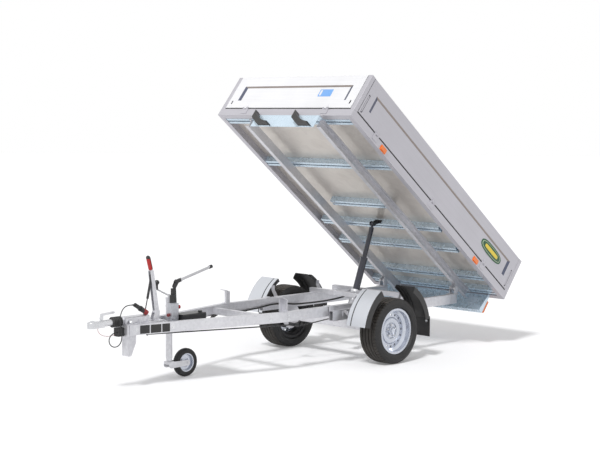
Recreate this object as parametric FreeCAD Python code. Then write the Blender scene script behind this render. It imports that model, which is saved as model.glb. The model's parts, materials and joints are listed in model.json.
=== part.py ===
import FreeCAD, Part
import math
import os

os.makedirs("parts", exist_ok=True)

V = FreeCAD.Vector
X_AXIS = V(1, 0, 0)
Y_AXIS = V(0, 1, 0)
Z_AXIS = V(0, 0, 1)

# Rear-tipping single-axle trailer. Millimetres, +Z up, drawbar towards -Y, left side +X.
# It is modelled with Y = 0 above the wheel centres and moved to its origin at export.
SEAT = 0.3                  # gap between pieces that sit on each other
RUNNING = 0.05              # radial clearance of a pin in its hole

# Bed
BED_WIDTH = 1480.0
BED_LENGTH = 2507.0
RAIL_HEIGHT = 63.0
RAIL_WIDTH = 48.0
RAIL_WALL = 2.5
FLOOR_SHEET = 2.0
FLOOR_DROP = 9.0            # floor sheet below the rail's top
POST_SIZE = 42.0
POST_WALL = 3.0
POST_GAP = 3.0
TIP_ANGLE = 38.5            # the bed is stored fully raised

# Drop sides
BOARD_GAP = 12.0            # between rail and board
BOARD_HEIGHT = 319.0
BOARD_THICK = 28.0
BOARD_WALL = 2.0
PANEL_LOW = 75.0            # recessed panel above the board's lower edge
PANEL_HIGH = 222.0
PANEL_INSET = 95.0          # from the board's ends
PANEL_DEPTH = 8.0
LATCH_INSET = 28.0          # latch slot from the board's end
LATCH_LOW = 14.0
LATCH_HEIGHT = 165.0
LATCH_WIDTH = 20.0
LATCH_DEPTH = 11.0
CATCH_INSET = 39.0          # hole in the end boards from the board's end

# Board hinges
HINGE_OUT = 8.0             # pin outside the board's face
HINGE_V = 68.0              # pin above the rail's lower face
HINGE_R = 6.0
HINGE_LEAF = 3.0
KNUCKLE = 30.0
KNUCKLE_GAP = 0.4

# Tipping pivot
PIVOT_Y = 1047.0
PIVOT_Z = 495.0
PIVOT_INSET = 264.0         # from the bed's rear edge
PIVOT_DROP = 98.0           # below the rail's lower face
PIVOT_PIN_R = 8.0
EAR_R = 22.0
EAR_THICK = 6.0

# Bed underframe
MEMBER_WIDTH = 62.0
MEMBER_HEIGHT = 48.0
MEMBER_WALL = 3.0
MEMBER_SLOT = 12.0
BEAM_X = 400.0
BEAM_WIDTH = 40.0
BEAM_HEIGHT = 70.0
BEAM_WALL = 3.0
LAMP_BAR_HALF = 612.0
LAMP_BAR_DROP = 180.0
LAMP_BAR_DEPTH = 45.0
LAMP_BAR_U = 40.0

# Wheels
TYRE_R = 262.5
TYRE_WIDTH = 195.0
BEAD_R = 168.0
LIP_R = 184.0
TRACK_HALF = 578.0
RIM_HALF = 75.5
RIM_WALL = 3.0
RIM_HOLES = 16
RIM_HOLE_R = 8.5
RIM_HOLE_CIRCLE = 127.0
DISC_OFFSET = 20.0
DISC_WALL = 5.0
CENTRE_BORE_R = 32.0
DRUM_R = 100.0
DRUM_DEPTH = 61.0
SPINDLE_R = 20.0

# Axle
AXLE_Y = -140.0
AXLE_Z = 300.0
AXLE_SIZE = 70.0
ARM_X = 460.0
ARM_THICK = 28.0
BACKPLATE_R = 104.0
BACKPLATE_GAP = 6.0         # between brake drum and its back plate
YOKE_Y = AXLE_Y - 350.0     # brake equaliser
YOKE_Z = AXLE_Z - 5.0

# Mudguards
GUARD_R = 398.0
GUARD_X0 = 472.0
GUARD_X1 = 680.0
GUARD_WALL = 3.0
GUARD_START = 31.0          # degrees from straight up, towards either end
GUARD_END = 80.0
FLAP_THICK = 4.0
FLAP_HEIGHT = 165.0

# Drawbar
DRAWBAR_Z = 400.0
DRAWBAR_HEIGHT = 75.0
DRAWBAR_WIDTH = 45.0
DRAWBAR_WALL = 3.0
NOSE_Y = -2214.0
NOSE_X = 68.0
BEND_Y = -980.0
BEND_X = 360.0
DRAWBAR_END_Y = 420.0
DRAWBAR_END_X = 372.0
SIDE_Z = 365.0
SIDE_HEIGHT = 80.0
SIDE_WIDTH = 42.0
SIDE_FRONT_Y = -478.0
SIDE_REAR_Y = 1075.0
CROSS_HEIGHT = 38.0
CROSS_WIDTH = 40.0
CROSS_Y = (95.0, 375.0)
CROSSBAR_Y = -1085.0
SUPPORT_Y = -917.0
SUPPORT_X = 324.0
SUPPORT_WIDTH = 56.0
SUPPORT_TOP = 590.0

# Overrun coupling, from the drawbar's nose forward
COUPLING_Z = 500.0
HOUSING_OVERHANG = 18.0
HOUSING_TOP = 528.0
HOUSING_HALF = 42.0
HOUSING_LENGTH = 222.0
BASE_LENGTH = 345.0
BASE_THICK = 6.0
COLLAR = 10.0
BELLOWS_LENGTH = 84.4
BELLOWS_FOLDS = 6
BELLOWS_R = 38.0
SHAFT_R = 24.0
HEAD_HALF = 33.0
HEAD_HEIGHT = 58.0
BALL_R = 25.4               # 50 mm ball
BALL_BEHIND_TIP = 38.0
HEAD_LENGTH = 201.0         # from the tip to the gaiter
SHAFT_SHOWN = 73.0          # shaft between the head and the gaiter
BLOCK_LENGTH = 48.0         # rubber block that the lead comes out of
LEG_WIDTH = 72.0
LEG_BOTTOM = 245.0

# Handbrake and hand pump
BRAKE_Y = NOSE_Y + 297.0
BRAKE_TOP = 833.0
PUMP_Y = NOSE_Y + 448.0
PUMP_PLATE_Z = 440.0
PUMP_PLATE_FRONT = NOSE_Y + 384.0
PUMP_PLATE_LENGTH = 390.0
PUMP_PLATE_THICK = 5.0
TANK_LENGTH = 226.0
TANK_WIDTH = 116.0
TANK_HEIGHT = 58.0

# Tipping cylinder
RAM_Y = 225.0
RAM_Z = 468.0
RAM_EYE_U = 1085.0          # along the bed from its rear edge
RAM_EYE_V = -30.0           # from the rail's lower face
BARREL_R = 36.0
TRUNNION_R = 14.0
TRUNNION_HALF = 60.0
STAGE1_R = 29.0
STAGE2_R = 20.0
RAM_CLEAR = 0.5
BARREL_ABOVE = 48.0
BARREL_BELOW = 275.0
STAGE1_TRAVEL = 270.0
EYE_R = 16.0
EYE_HALF = 12.0
CHEEK_GAP = 3.0

# Jockey wheel, clamped inside the right drawbar beam
JOCKEY_LEG_Y = NOSE_Y + 510.0
JOCKEY_TRAIL = 157.0
JOCKEY_R = 107.0
JOCKEY_WIDTH = 48.0
JOCKEY_TUBE_R = 24.0
JOCKEY_TUBE_WALL = 3.0
JOCKEY_TOP = 603.0
JOCKEY_BOTTOM = 132.0
CLAMP_CLEAR = 0.5
CLAMP_REACH = 36.0          # tube's centre from the beam's inner face
CLAMP_SCREW = 52.0

# Cords
LEAD_R = 3.5
BREAKAWAY_R = 1.5


def box(x0, x1, y0, y1, z0, z1):
    low = V(min(x0, x1), min(y0, y1), min(z0, z1))
    return Part.makeBox(abs(x1 - x0), abs(y1 - y0), abs(z1 - z0), low)


def rod(start, end, radius):
    axis = end - start
    return Part.makeCylinder(radius, axis.Length, start, axis)


def pipe(start, end, radius, wall):
    return rod(start, end, radius).cut(rod(start, end, radius - wall))


def ball(centre, radius):
    return Part.makeSphere(radius, centre)


def unit(vector):
    return V(vector).normalize()


def face(points):
    return Part.Face(Part.makePolygon(points + [points[0]]))


def prism(points, along):
    return face(points).extrude(along)


def mirror(shape):
    return shape.mirror(V(0, 0, 0), X_AXIS)


def both(shape):
    return Part.makeCompound([shape, mirror(shape)])


def fuse(shapes):
    result = shapes[0]
    if len(shapes) > 1:
        result = result.multiFuse(shapes[1:])
    return result.removeSplitter()


def rounded(shape, radius, along):
    # rounds the edges of a box that run along one axis
    edges = [e for e in shape.Edges if abs(unit(e.tangentAt(e.FirstParameter)).dot(along)) > 0.999]
    return shape.makeFillet(radius, edges)


def link(p, q, radius_p, radius_q, along):
    # a flat plate with two round ends, in the plane across `along`
    axis = unit(q - p)
    side = unit(axis.cross(along))
    lean = math.asin((radius_p - radius_q) / (q - p).Length)
    left = side * math.cos(lean) + axis * math.sin(lean)
    right = side * -math.cos(lean) + axis * math.sin(lean)
    web = prism([p + left * radius_p, q + left * radius_q, q + right * radius_q, p + right * radius_p], along)
    return fuse([rod(p, p + along, radius_p), rod(q, q + along, radius_q), web])


def ring_of(profile, centre, turn=360, axis=X_AXIS):
    # turns a closed profile of (radius, offset along the axis), or three such pairs for an arc, about the axis
    out = Z_AXIS

    def at(pair):
        return centre + axis * pair[1] + out * pair[0]

    edges = []
    last = at(profile[0])
    for step in profile[1:] + [profile[0]]:
        if isinstance(step[0], tuple):
            through, end = at(step[0]), at(step[1])
            edges.append(Part.Arc(last, through, end).toShape())
        else:
            end = at(step)
            edges.append(Part.LineSegment(last, end).toShape())
        last = end
    return Part.Face(Part.Wire(edges)).revolve(centre, axis, turn)


def arced_wire(points, reach=0.45):
    # straight runs joined by tangent arcs; returns the wire and its smallest arc radius
    edges = []
    radii = []
    last = points[0]
    for before, corner, after in zip(points, points[1:], points[2:]):
        back = unit(before - corner)
        ahead = unit(after - corner)
        turn = math.pi - back.getAngle(ahead)
        cut = reach * min((before - corner).Length, (after - corner).Length)
        radius = cut / math.tan(turn / 2)
        middle = corner + unit(back + ahead) * (radius / math.cos(turn / 2) - radius)
        edges.append(Part.LineSegment(last, corner + back * cut).toShape())
        edges.append(Part.Arc(corner + back * cut, middle, corner + ahead * cut).toShape())
        radii.append(radius)
        last = corner + ahead * cut
    edges.append(Part.LineSegment(last, points[-1]).toShape())
    return Part.Wire(edges), min(radii)


def tube_along(name, points, radius):
    wire, tightest = arced_wire(points)
    start = Part.Wire(Part.makeCircle(radius, points[0], points[1] - points[0]))
    solid = Part.Solid(wire.makePipeShell([start], True, False))
    share = solid.Volume / (math.pi * radius ** 2 * wire.Length)
    print("%s length %.0f tightest arc %.0f volume share %.4f" % (name, wire.Length, tightest, share))
    return solid


# Bed, drawn lowered: u runs forward from its rear edge, v up from the rail's lower face
BED_Z = PIVOT_Z + PIVOT_DROP
BED_REAR = PIVOT_Y + PIVOT_INSET
HALF = BED_WIDTH / 2
INNER = HALF - RAIL_WIDTH
PIVOT = V(0, PIVOT_Y, PIVOT_Z)
FLOOR_V = RAIL_HEIGHT - FLOOR_DROP
MEMBER_TOP = FLOOR_V - FLOOR_SHEET
MEMBER_BOTTOM = MEMBER_TOP - MEMBER_HEIGHT
BEAM_TOP = MEMBER_BOTTOM - SEAT
BEAM_BOTTOM = BEAM_TOP - BEAM_HEIGHT
BOARD_V0 = RAIL_HEIGHT + BOARD_GAP


def bed_y(u):
    return BED_REAR - u


def bed_z(v):
    return BED_Z + v


def bed_box(x0, x1, u0, u1, v0, v1):
    return box(x0, x1, bed_y(u1), bed_y(u0), bed_z(v0), bed_z(v1))


def tipped(shape):
    copy = shape.copy()
    copy.rotate(PIVOT, V(-1, 0, 0), TIP_ANGLE)
    return copy


def tipped_point(point):
    turn = FreeCAD.Rotation(V(-1, 0, 0), TIP_ANGLE)
    return PIVOT + turn.multVec(point - PIVOT)


def bed_rails():
    w = RAIL_WALL
    outer = bed_box(-HALF, HALF, 0, BED_LENGTH, 0, RAIL_HEIGHT)
    outer = outer.cut(bed_box(-INNER, INNER, RAIL_WIDTH, BED_LENGTH - RAIL_WIDTH, -1, RAIL_HEIGHT + 1))
    hollow = bed_box(-HALF + w, HALF - w, w, BED_LENGTH - w, w, RAIL_HEIGHT - w)
    core = bed_box(-INNER - w, INNER + w, RAIL_WIDTH - w, BED_LENGTH - RAIL_WIDTH + w, 0, RAIL_HEIGHT)
    return outer.cut(hollow.cut(core))


def bed_floor():
    return bed_box(-INNER + SEAT, INNER - SEAT, RAIL_WIDTH + SEAT, BED_LENGTH - RAIL_WIDTH - SEAT,
                   MEMBER_TOP, FLOOR_V)


# Cross members: place of the centre from the bed's rear edge, half length
MEMBERS = [
    (BED_LENGTH - 87.0, INNER - SEAT),
    (BED_LENGTH - 657.0, INNER - SEAT),
    (1310.0, 330.0),
    (1010.0, 660.0),
    (715.0, 660.0),
    (300.0, INNER - SEAT),
    (90.0, INNER - SEAT),
]
RAM_MEMBER_U = 1010.0


def cross_member(u, half):
    w = MEMBER_WALL
    side = MEMBER_WIDTH / 2
    top = MEMBER_TOP - SEAT
    outer = bed_box(-half, half, u - side, u + side, MEMBER_BOTTOM, top)
    inner = bed_box(-half - 1, half + 1, u - side + w, u + side - w, MEMBER_BOTTOM + w, top - w)
    slot = bed_box(-half - 1, half + 1, u - MEMBER_SLOT / 2, u + MEMBER_SLOT / 2,
                   MEMBER_BOTTOM - 1, MEMBER_BOTTOM + w + 1)
    return outer.cut(inner).cut(slot)


def main_beam():
    w = BEAM_WALL
    x0 = BEAM_X - BEAM_WIDTH / 2
    x1 = BEAM_X + BEAM_WIDTH / 2
    rear, front = 70, BED_LENGTH - 60
    beam = bed_box(x0, x1, rear, front, BEAM_BOTTOM, BEAM_TOP)
    return beam.cut(bed_box(x0 + w, x1 + 1, rear - 1, front + 1, BEAM_BOTTOM + w, BEAM_TOP - w))


def across_pivot(x0, x1, radius):
    return rod(V(x0, PIVOT_Y, PIVOT_Z), V(x1, PIVOT_Y, PIVOT_Z), radius)


def ear(x, foot_z):
    # a lug from its flat foot to a round end about the tipping pin
    x0 = x - EAR_THICK / 2
    x1 = x + EAR_THICK / 2
    plate = box(x0, x1, PIVOT_Y - EAR_R, PIVOT_Y + EAR_R, PIVOT_Z, foot_z)
    return fuse([plate, across_pivot(x0, x1, EAR_R)])


def bed_pivot_ears():
    ears = []
    for side in (-1, 1):
        x = BEAM_X + side * (BEAM_WIDTH / 2 - 4)
        hole = across_pivot(x - EAR_THICK, x + EAR_THICK, PIVOT_PIN_R + RUNNING)
        ears.append(ear(x, bed_z(BEAM_BOTTOM) - SEAT).cut(hole))
    return Part.makeCompound(ears)


def corner_posts():
    posts = []
    height = BOARD_GAP + BOARD_HEIGHT
    w = POST_WALL
    for u0 in (0, BED_LENGTH - POST_SIZE):
        post = bed_box(HALF - POST_SIZE, HALF, u0, u0 + POST_SIZE, RAIL_HEIGHT + SEAT, RAIL_HEIGHT + height)
        core = bed_box(HALF - POST_SIZE + w, HALF - w, u0 + w, u0 + POST_SIZE - w,
                       RAIL_HEIGHT - 1, RAIL_HEIGHT + height - w)
        posts.append(rounded(post, 3, Z_AXIS).cut(core))
    return Part.makeCompound(posts + [mirror(p) for p in posts])


def board(length):
    # a hollow extrusion: outer face on y = 0, inner face on y = BOARD_THICK, along X from its middle, up from z = 0
    w = BOARD_WALL
    h = BOARD_HEIGHT
    half = length / 2
    body = box(-half, half, 0, BOARD_THICK, 0, h)
    top = [e for e in body.Edges if abs(e.CenterOfMass.z - h) < 1 and abs(e.CenterOfMass.x) < 1]
    body = body.makeFillet(5, top)
    body = body.cut(box(-half + PANEL_INSET, half - PANEL_INSET, -1, PANEL_DEPTH, PANEL_LOW, PANEL_HIGH))
    chambers = ((w, PANEL_LOW - w, w), (PANEL_LOW + w, PANEL_HIGH - w, PANEL_DEPTH + w), (PANEL_HIGH + w, h - 6, w))
    for z0, z1, y0 in chambers:
        body = body.cut(box(-half - 1, half + 1, y0, BOARD_THICK - w, z0, z1))
    return body


# Sides of the bed: turn about Z, middle of the outer face, board length, hinges along it from the middle
SIDE_BOARD = BED_LENGTH - 2 * (POST_SIZE + POST_GAP)
END_BOARD = BED_WIDTH - 2 * (POST_SIZE + POST_GAP)
HINGE_FRONT = BED_LENGTH / 2 - 319.0
HINGE_REAR = BED_LENGTH / 2 - 445.0
END_HINGE = HALF - 295.0
SIDES = {
    "left": (90, V(HALF, bed_y(BED_LENGTH / 2), 0), SIDE_BOARD, (-HINGE_FRONT, -63.5, HINGE_REAR)),
    "right": (-90, V(-HALF, bed_y(BED_LENGTH / 2), 0), SIDE_BOARD, (-HINGE_REAR, 63.5, HINGE_FRONT)),
    "front": (0, V(0, bed_y(BED_LENGTH), 0), END_BOARD, (-END_HINGE, END_HINGE)),
    "rear": (180, V(0, bed_y(0), 0), END_BOARD, (-END_HINGE, END_HINGE)),
}


def on_side(shape, side):
    # a side's own frame: x along it, y inwards from its outer face, z up from the rail's lower face
    turn, middle, length, hinges = SIDES[side]
    shape.rotate(V(0, 0, 0), Z_AXIS, turn)
    shape.translate(middle + V(0, 0, BED_Z))
    return shape


def board_leaf(x):
    pin = V(x, -HINGE_OUT, HINGE_V)
    half = V(KNUCKLE / 3 - KNUCKLE_GAP, 0, 0)
    strap = box(x - half.x, x + half.x, -HINGE_LEAF, 0, BOARD_V0, BOARD_V0 + 36)
    arm = prism([V(x - half.x, -HINGE_LEAF, BOARD_V0 + 14), V(x - half.x, -HINGE_LEAF, BOARD_V0),
                 V(x - half.x, -HINGE_OUT, HINGE_V), V(x - half.x, -HINGE_OUT - HINGE_R, HINGE_V)], half * 2)
    return fuse([strap, arm, rod(pin - half, pin + half, HINGE_R)])


def rail_leaf(x):
    k = KNUCKLE
    pin = V(x, -HINGE_OUT, HINGE_V)
    parts = [box(x - k, x + k, -HINGE_LEAF - SEAT, -SEAT, 16, RAIL_HEIGHT)]
    for x0, x1 in ((x - k, x - k / 3), (x + k / 3, x + k)):
        parts.append(rod(V(x0, pin.y, pin.z), V(x1, pin.y, pin.z), HINGE_R))
        parts.append(prism([V(x0, -SEAT, RAIL_HEIGHT), V(x0, -SEAT, RAIL_HEIGHT - 12),
                            V(x0, pin.y - HINGE_R, pin.z), V(x0, pin.y, pin.z)], V(x1 - x0, 0, 0)))
    return fuse(parts)


def latch_slot(x):
    # a sunk cup near the board's end, open to the outside
    half = LATCH_WIDTH / 2
    z0 = BOARD_V0 + LATCH_LOW
    return box(x - half, x + half, -1, LATCH_DEPTH, z0, z0 + LATCH_HEIGHT)


def latch_cup(x):
    half = LATCH_WIDTH / 2
    z0 = BOARD_V0 + LATCH_LOW
    outer = box(x - half - 2, x + half + 2, BOARD_WALL / 2, LATCH_DEPTH + 2, z0 - 2, z0 + LATCH_HEIGHT + 2)
    lever = box(x - half + 4, x + half - 4, 2, 7, z0 + 12, z0 + LATCH_HEIGHT - 8)
    pivot = rod(V(x, 2, z0 + LATCH_HEIGHT - 16), V(x, LATCH_DEPTH + 1, z0 + LATCH_HEIGHT - 16), 5)
    return fuse([outer.cut(latch_slot(x)), lever, pivot])


def side_board(side):
    turn, middle, length, hinges = SIDES[side]
    shape = board(length)
    shape.translate(V(0, 0, BOARD_V0))
    for end in (-1, 1):
        if side in ("left", "right"):
            x = end * (length / 2 - LATCH_INSET)
            shape = fuse([shape.cut(latch_slot(x)), latch_cup(x)])
        else:
            # the hole that the corner post's catch goes through
            x = end * (length / 2 - CATCH_INSET)
            shape = shape.cut(box(x - 7, x + 7, -1, BOARD_WALL + 1, BOARD_V0 + 39, BOARD_V0 + 73))
    return on_side(fuse([shape] + [board_leaf(x) for x in hinges]), side)


def board_hinges():
    leaves = []
    for side, (turn, middle, length, hinges) in SIDES.items():
        leaves += [on_side(rail_leaf(x), side) for x in hinges]
    return Part.makeCompound(leaves)


def lamp_bar():
    u0 = LAMP_BAR_U
    u1 = LAMP_BAR_U + LAMP_BAR_DEPTH
    t = 3.0
    x = LAMP_BAR_HALF
    panel = bed_box(-x, x, u0, u0 + t, -LAMP_BAR_DROP, -SEAT)
    flange = bed_box(-x, x, u0, u1, -LAMP_BAR_DROP, -LAMP_BAR_DROP + t)
    parts = [panel, flange]
    for x0 in (-x, x - t):
        corners = [(u0, -SEAT), (u0 + 20, -SEAT), (u1, -LAMP_BAR_DROP + 24), (u1, -LAMP_BAR_DROP), (u0, -LAMP_BAR_DROP)]
        parts.append(prism([V(x0, bed_y(u), bed_z(v)) for u, v in corners], V(t, 0, 0)))
    return fuse(parts)


LAMP_WIDTH = 245.0
LAMP_LOW = -158.0
LAMP_HIGH = -34.0
LAMP_DEPTH = 44.0


def tail_lamps():
    # each lamp has a thin base against the bar and three lens fields with grooves between
    x1 = LAMP_BAR_HALF - 14
    x0 = x1 - LAMP_WIDTH
    rear = LAMP_BAR_U - SEAT
    base = bed_box(x0, x1, rear - 14, rear, LAMP_LOW, LAMP_HIGH)
    lens = bed_box(x0 + 4, x1 - 4, rear - LAMP_DEPTH, rear - 14, LAMP_LOW + 4, LAMP_HIGH - 4)
    lens = rounded(lens, 9, Y_AXIS)
    for part in (0.36, 0.68):
        groove = x0 + part * LAMP_WIDTH
        lens = lens.cut(bed_box(groove - 2, groove + 2, rear - LAMP_DEPTH - 1, rear - LAMP_DEPTH + 5,
                                LAMP_LOW, LAMP_HIGH))
    return both(fuse([base, lens]))


MARKER_U = (551.0, BED_LENGTH - 450.0)


def side_markers():
    lamps = []
    for u in MARKER_U:
        base = bed_box(HALF + SEAT, HALF + 3, u - 38, u + 38, 6, 50)
        lens = bed_box(HALF + 2, HALF + 11, u - 33, u + 33, 11, 45)
        lamps.append(fuse([rounded(base, 5, X_AXIS), rounded(lens, 4, X_AXIS)]))
    return Part.makeCompound(lamps + [mirror(s) for s in lamps])


CHOCK_HEELS = (-256.0, 186.0)
CHOCK_LENGTH = 196.0
CHOCK_HEIGHT = 126.0
CHOCK_WIDTH = 52.0
CHOCK_V = -110.0
CHOCK_WALL = 4.0
CHOCK_PLATE = 3.0
CHOCK_SHELF = 12.0          # lip under each toe


def chock_outline(x, wall):
    # a heel, a sloped sole and a hollow running face that follows a tyre
    y = bed_y(BED_LENGTH) - SEAT
    sole = bed_z(CHOCK_V) + wall
    heel = V(x + wall, y, sole + 52)
    peak = V(x + wall, y, bed_z(CHOCK_V) + CHOCK_HEIGHT - 3 * wall)
    toe = V(x + CHOCK_LENGTH - 3 * wall, y, sole + 14 - wall)
    foot = V(x + 75, y, sole)
    middle = (peak + toe) * 0.5 - V(14, 0, 22)
    edges = [Part.LineSegment(heel, peak), Part.Arc(peak, middle, toe),
             Part.LineSegment(toe, V(toe.x, y, sole)), Part.LineSegment(V(toe.x, y, sole), foot),
             Part.LineSegment(foot, heel)]
    return Part.Face(Part.Wire([e.toShape() for e in edges]))


def wheel_chocks():
    # moulded shells, open at the back
    chocks = []
    for x in CHOCK_HEELS:
        shell = chock_outline(x, 0).extrude(V(0, -CHOCK_WIDTH, 0))
        core = chock_outline(x, CHOCK_WALL).extrude(V(0, CHOCK_WALL - CHOCK_WIDTH, 0))
        chocks.append(shell.cut(core))
    return Part.makeCompound(chocks)


def chock_plate():
    # a sheet under the front rail, with a lip below each chock
    y = bed_y(BED_LENGTH)
    low = bed_z(CHOCK_V) - SEAT
    x0 = CHOCK_HEELS[0] - 20
    x1 = CHOCK_HEELS[1] + CHOCK_LENGTH + 36
    parts = [box(x0, x1, y, y + CHOCK_PLATE, low - CHOCK_PLATE, bed_z(0) - SEAT)]
    parts.append(box(x0, x1, y, y + RAIL_WIDTH, bed_z(0) - SEAT - CHOCK_PLATE, bed_z(0) - SEAT))
    for x in CHOCK_HEELS:
        parts.append(box(x + 80, x + CHOCK_LENGTH, y - CHOCK_SHELF, y + CHOCK_PLATE, low - CHOCK_PLATE, low))
    return fuse(parts)


RAM_EYE_LOW = V(0, bed_y(RAM_EYE_U), bed_z(RAM_EYE_V))
RAM_EYE = tipped_point(RAM_EYE_LOW)
RAM_BASE = V(0, RAM_Y, RAM_Z)


def ram_bracket():
    # two cheeks with round ends on a plate that is bolted to the cross member behind the eye
    back = bed_y(RAM_MEMBER_U + MEMBER_WIDTH / 2) - SEAT
    t = 6.0
    gap = EYE_HALF + CHEEK_GAP
    eye = RAM_EYE_LOW
    top = bed_z(MEMBER_TOP) - 14
    parts = [box(-gap - t - 18, gap + t + 18, back - 6, back, bed_z(MEMBER_BOTTOM) + 2, top)]
    for x in (-gap - t, gap):
        corners = [V(x, eye.y, eye.z - 20), V(x, back, bed_z(MEMBER_BOTTOM) + 2), V(x, back, top),
                   V(x, eye.y, eye.z + 20)]
        parts.append(prism(corners, V(t, 0, 0)))
        parts.append(rod(V(x, eye.y, eye.z), V(x + t, eye.y, eye.z), 20))
    return fuse(parts)


def drawbar_line(inset, extend):
    pts = [(NOSE_X, NOSE_Y - extend), (BEND_X, BEND_Y), (DRAWBAR_END_X, DRAWBAR_END_Y + extend)]
    near = [V(x - inset, y, DRAWBAR_Z + inset) for x, y in pts]
    far = [V(x - DRAWBAR_WIDTH + inset, y, DRAWBAR_Z + inset) for x, y in pts]
    return near + far[::-1]


def drawbar_beam():
    solid = prism(drawbar_line(0, 0), V(0, 0, DRAWBAR_HEIGHT))
    core = prism(drawbar_line(DRAWBAR_WALL, 1), V(0, 0, DRAWBAR_HEIGHT - 2 * DRAWBAR_WALL))
    return solid.cut(core)


DRAWBAR_TOP = DRAWBAR_Z + DRAWBAR_HEIGHT
DRAWBAR_SLOPE = (BEND_X - NOSE_X) / (BEND_Y - NOSE_Y)


def drawbar_inner_x(y):
    return NOSE_X + DRAWBAR_SLOPE * (y - NOSE_Y) - DRAWBAR_WIDTH


def between_beams(y0, y1, z0, z1):
    # a plate or bar whose ends follow the beams' slanted inner faces
    near = drawbar_inner_x(y0) - SEAT
    far = drawbar_inner_x(y1) - SEAT
    return prism([V(-near, y0, z0), V(near, y0, z0), V(far, y1, z0), V(-far, y1, z0)], V(0, 0, z1 - z0))


def drawbar_crossbar():
    z0 = DRAWBAR_Z + 10
    y = CROSSBAR_Y
    bar = between_beams(y - 20, y + 20, z0, z0 + 50)
    return bar.cut(box(-500, 500, y - 17, y + 17, z0 + 3, z0 + 47))


def side_member():
    x0 = DRAWBAR_END_X + SEAT
    x1 = x0 + SIDE_WIDTH
    w = DRAWBAR_WALL
    outer = box(x0, x1, SIDE_FRONT_Y, SIDE_REAR_Y, SIDE_Z, SIDE_Z + SIDE_HEIGHT)
    tube = outer.cut(box(x0 + w, x1 - w, SIDE_FRONT_Y - 1, SIDE_REAR_Y + 1, SIDE_Z + w, SIDE_Z + SIDE_HEIGHT - w))
    # the front clip that is bolted over the drawbar
    y0 = SIDE_FRONT_Y
    y1 = SIDE_FRONT_Y + 50
    riser = box(x0, x0 + 8, y0, y1, SIDE_Z + SIDE_HEIGHT, DRAWBAR_TOP + SEAT + 6)
    strap = box(x0 - DRAWBAR_WIDTH, x0 + 8, y0, y1, DRAWBAR_TOP + SEAT, DRAWBAR_TOP + SEAT + 6)
    return fuse([tube, riser, strap])


def chassis_pivot_ears():
    # two ears outside the bed's pair, on a foot plate, with the pin through all four
    foot = SIDE_Z + SIDE_HEIGHT + SEAT
    reach = BEAM_WIDTH / 2 + 12
    plate = box(BEAM_X - reach - 10, BEAM_X + reach + 10, PIVOT_Y - 46, PIVOT_Y + 28, foot, foot + 5)
    ears = [ear(BEAM_X + side * (BEAM_WIDTH / 2 + EAR_THICK), foot) for side in (-1, 1)]
    return fuse([plate, across_pivot(BEAM_X - reach, BEAM_X + reach, PIVOT_PIN_R)] + ears)


def chassis_cross(y):
    half = CROSS_WIDTH / 2
    x = DRAWBAR_END_X + 8
    base = DRAWBAR_TOP + SEAT
    outer = box(-x, x, y - half, y + half, base, base + CROSS_HEIGHT)
    return outer.cut(box(-x - 1, x + 1, y - half + 3, y + half - 3, base + 3, base + CROSS_HEIGHT - 3))


def ram_bearers():
    # plates between the cross members, dropping round the cylinder's trunnions
    bearers = []
    y0 = CROSS_Y[0] + CROSS_WIDTH / 2 + SEAT
    y1 = CROSS_Y[1] - CROSS_WIDTH / 2 - SEAT
    top = DRAWBAR_TOP + SEAT + CROSS_HEIGHT
    for x in (-TRUNNION_HALF + 2, TRUNNION_HALF - 8):
        corners = [V(x, y0, top - 34), V(x, RAM_Y - 34, RAM_Z - 20), V(x, RAM_Y + 34, RAM_Z - 20), V(x, y1, top - 34),
                   V(x, y1, top), V(x, y0, top)]
        plate = prism(corners, V(6, 0, 0))
        boss = rod(V(x - 1, RAM_Y, RAM_Z), V(x + 7, RAM_Y, RAM_Z), TRUNNION_R + 12)
        hole = rod(V(x - 2, RAM_Y, RAM_Z), V(x + 8, RAM_Y, RAM_Z), TRUNNION_R + RUNNING)
        bearers.append(fuse([plate, boss]).cut(hole))
    return Part.makeCompound(bearers)


def support_posts():
    # folded uprights with a slanted rest on top
    x0 = SUPPORT_X - SUPPORT_WIDTH / 2
    x1 = SUPPORT_X + SUPPORT_WIDTH / 2
    t = 5.0
    base = DRAWBAR_TOP + SEAT
    web = box(x0, x1, SUPPORT_Y - t, SUPPORT_Y, base, SUPPORT_TOP - 18)
    flank = box(x0, x0 + t, SUPPORT_Y - 38, SUPPORT_Y, base, SUPPORT_TOP - 18)
    rest = prism([V(x0, SUPPORT_Y, SUPPORT_TOP - 18 - t), V(x0, SUPPORT_Y, SUPPORT_TOP - 18),
                  V(x0, SUPPORT_Y - 52, SUPPORT_TOP), V(x0, SUPPORT_Y - 52, SUPPORT_TOP - t)], V(x1 - x0, 0, 0))
    foot = box(x0, x1, SUPPORT_Y - 38, SUPPORT_Y, base, base + t)
    gusset = prism([V(x0, SUPPORT_Y, SUPPORT_TOP - 18), V(x0, SUPPORT_Y - 38, SUPPORT_TOP - 18),
                    V(x0, SUPPORT_Y - 38, SUPPORT_TOP - 8)], V(t, 0, 0))
    return both(fuse([web, flank, rest, foot, gusset]))


HOUSING_FRONT = NOSE_Y - HOUSING_OVERHANG
HOUSING_REAR = HOUSING_FRONT + HOUSING_LENGTH
BASE_REAR = HOUSING_FRONT + BASE_LENGTH
BASE_Z = DRAWBAR_TOP + SEAT
BRAKE_LUG = 20.0


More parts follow.
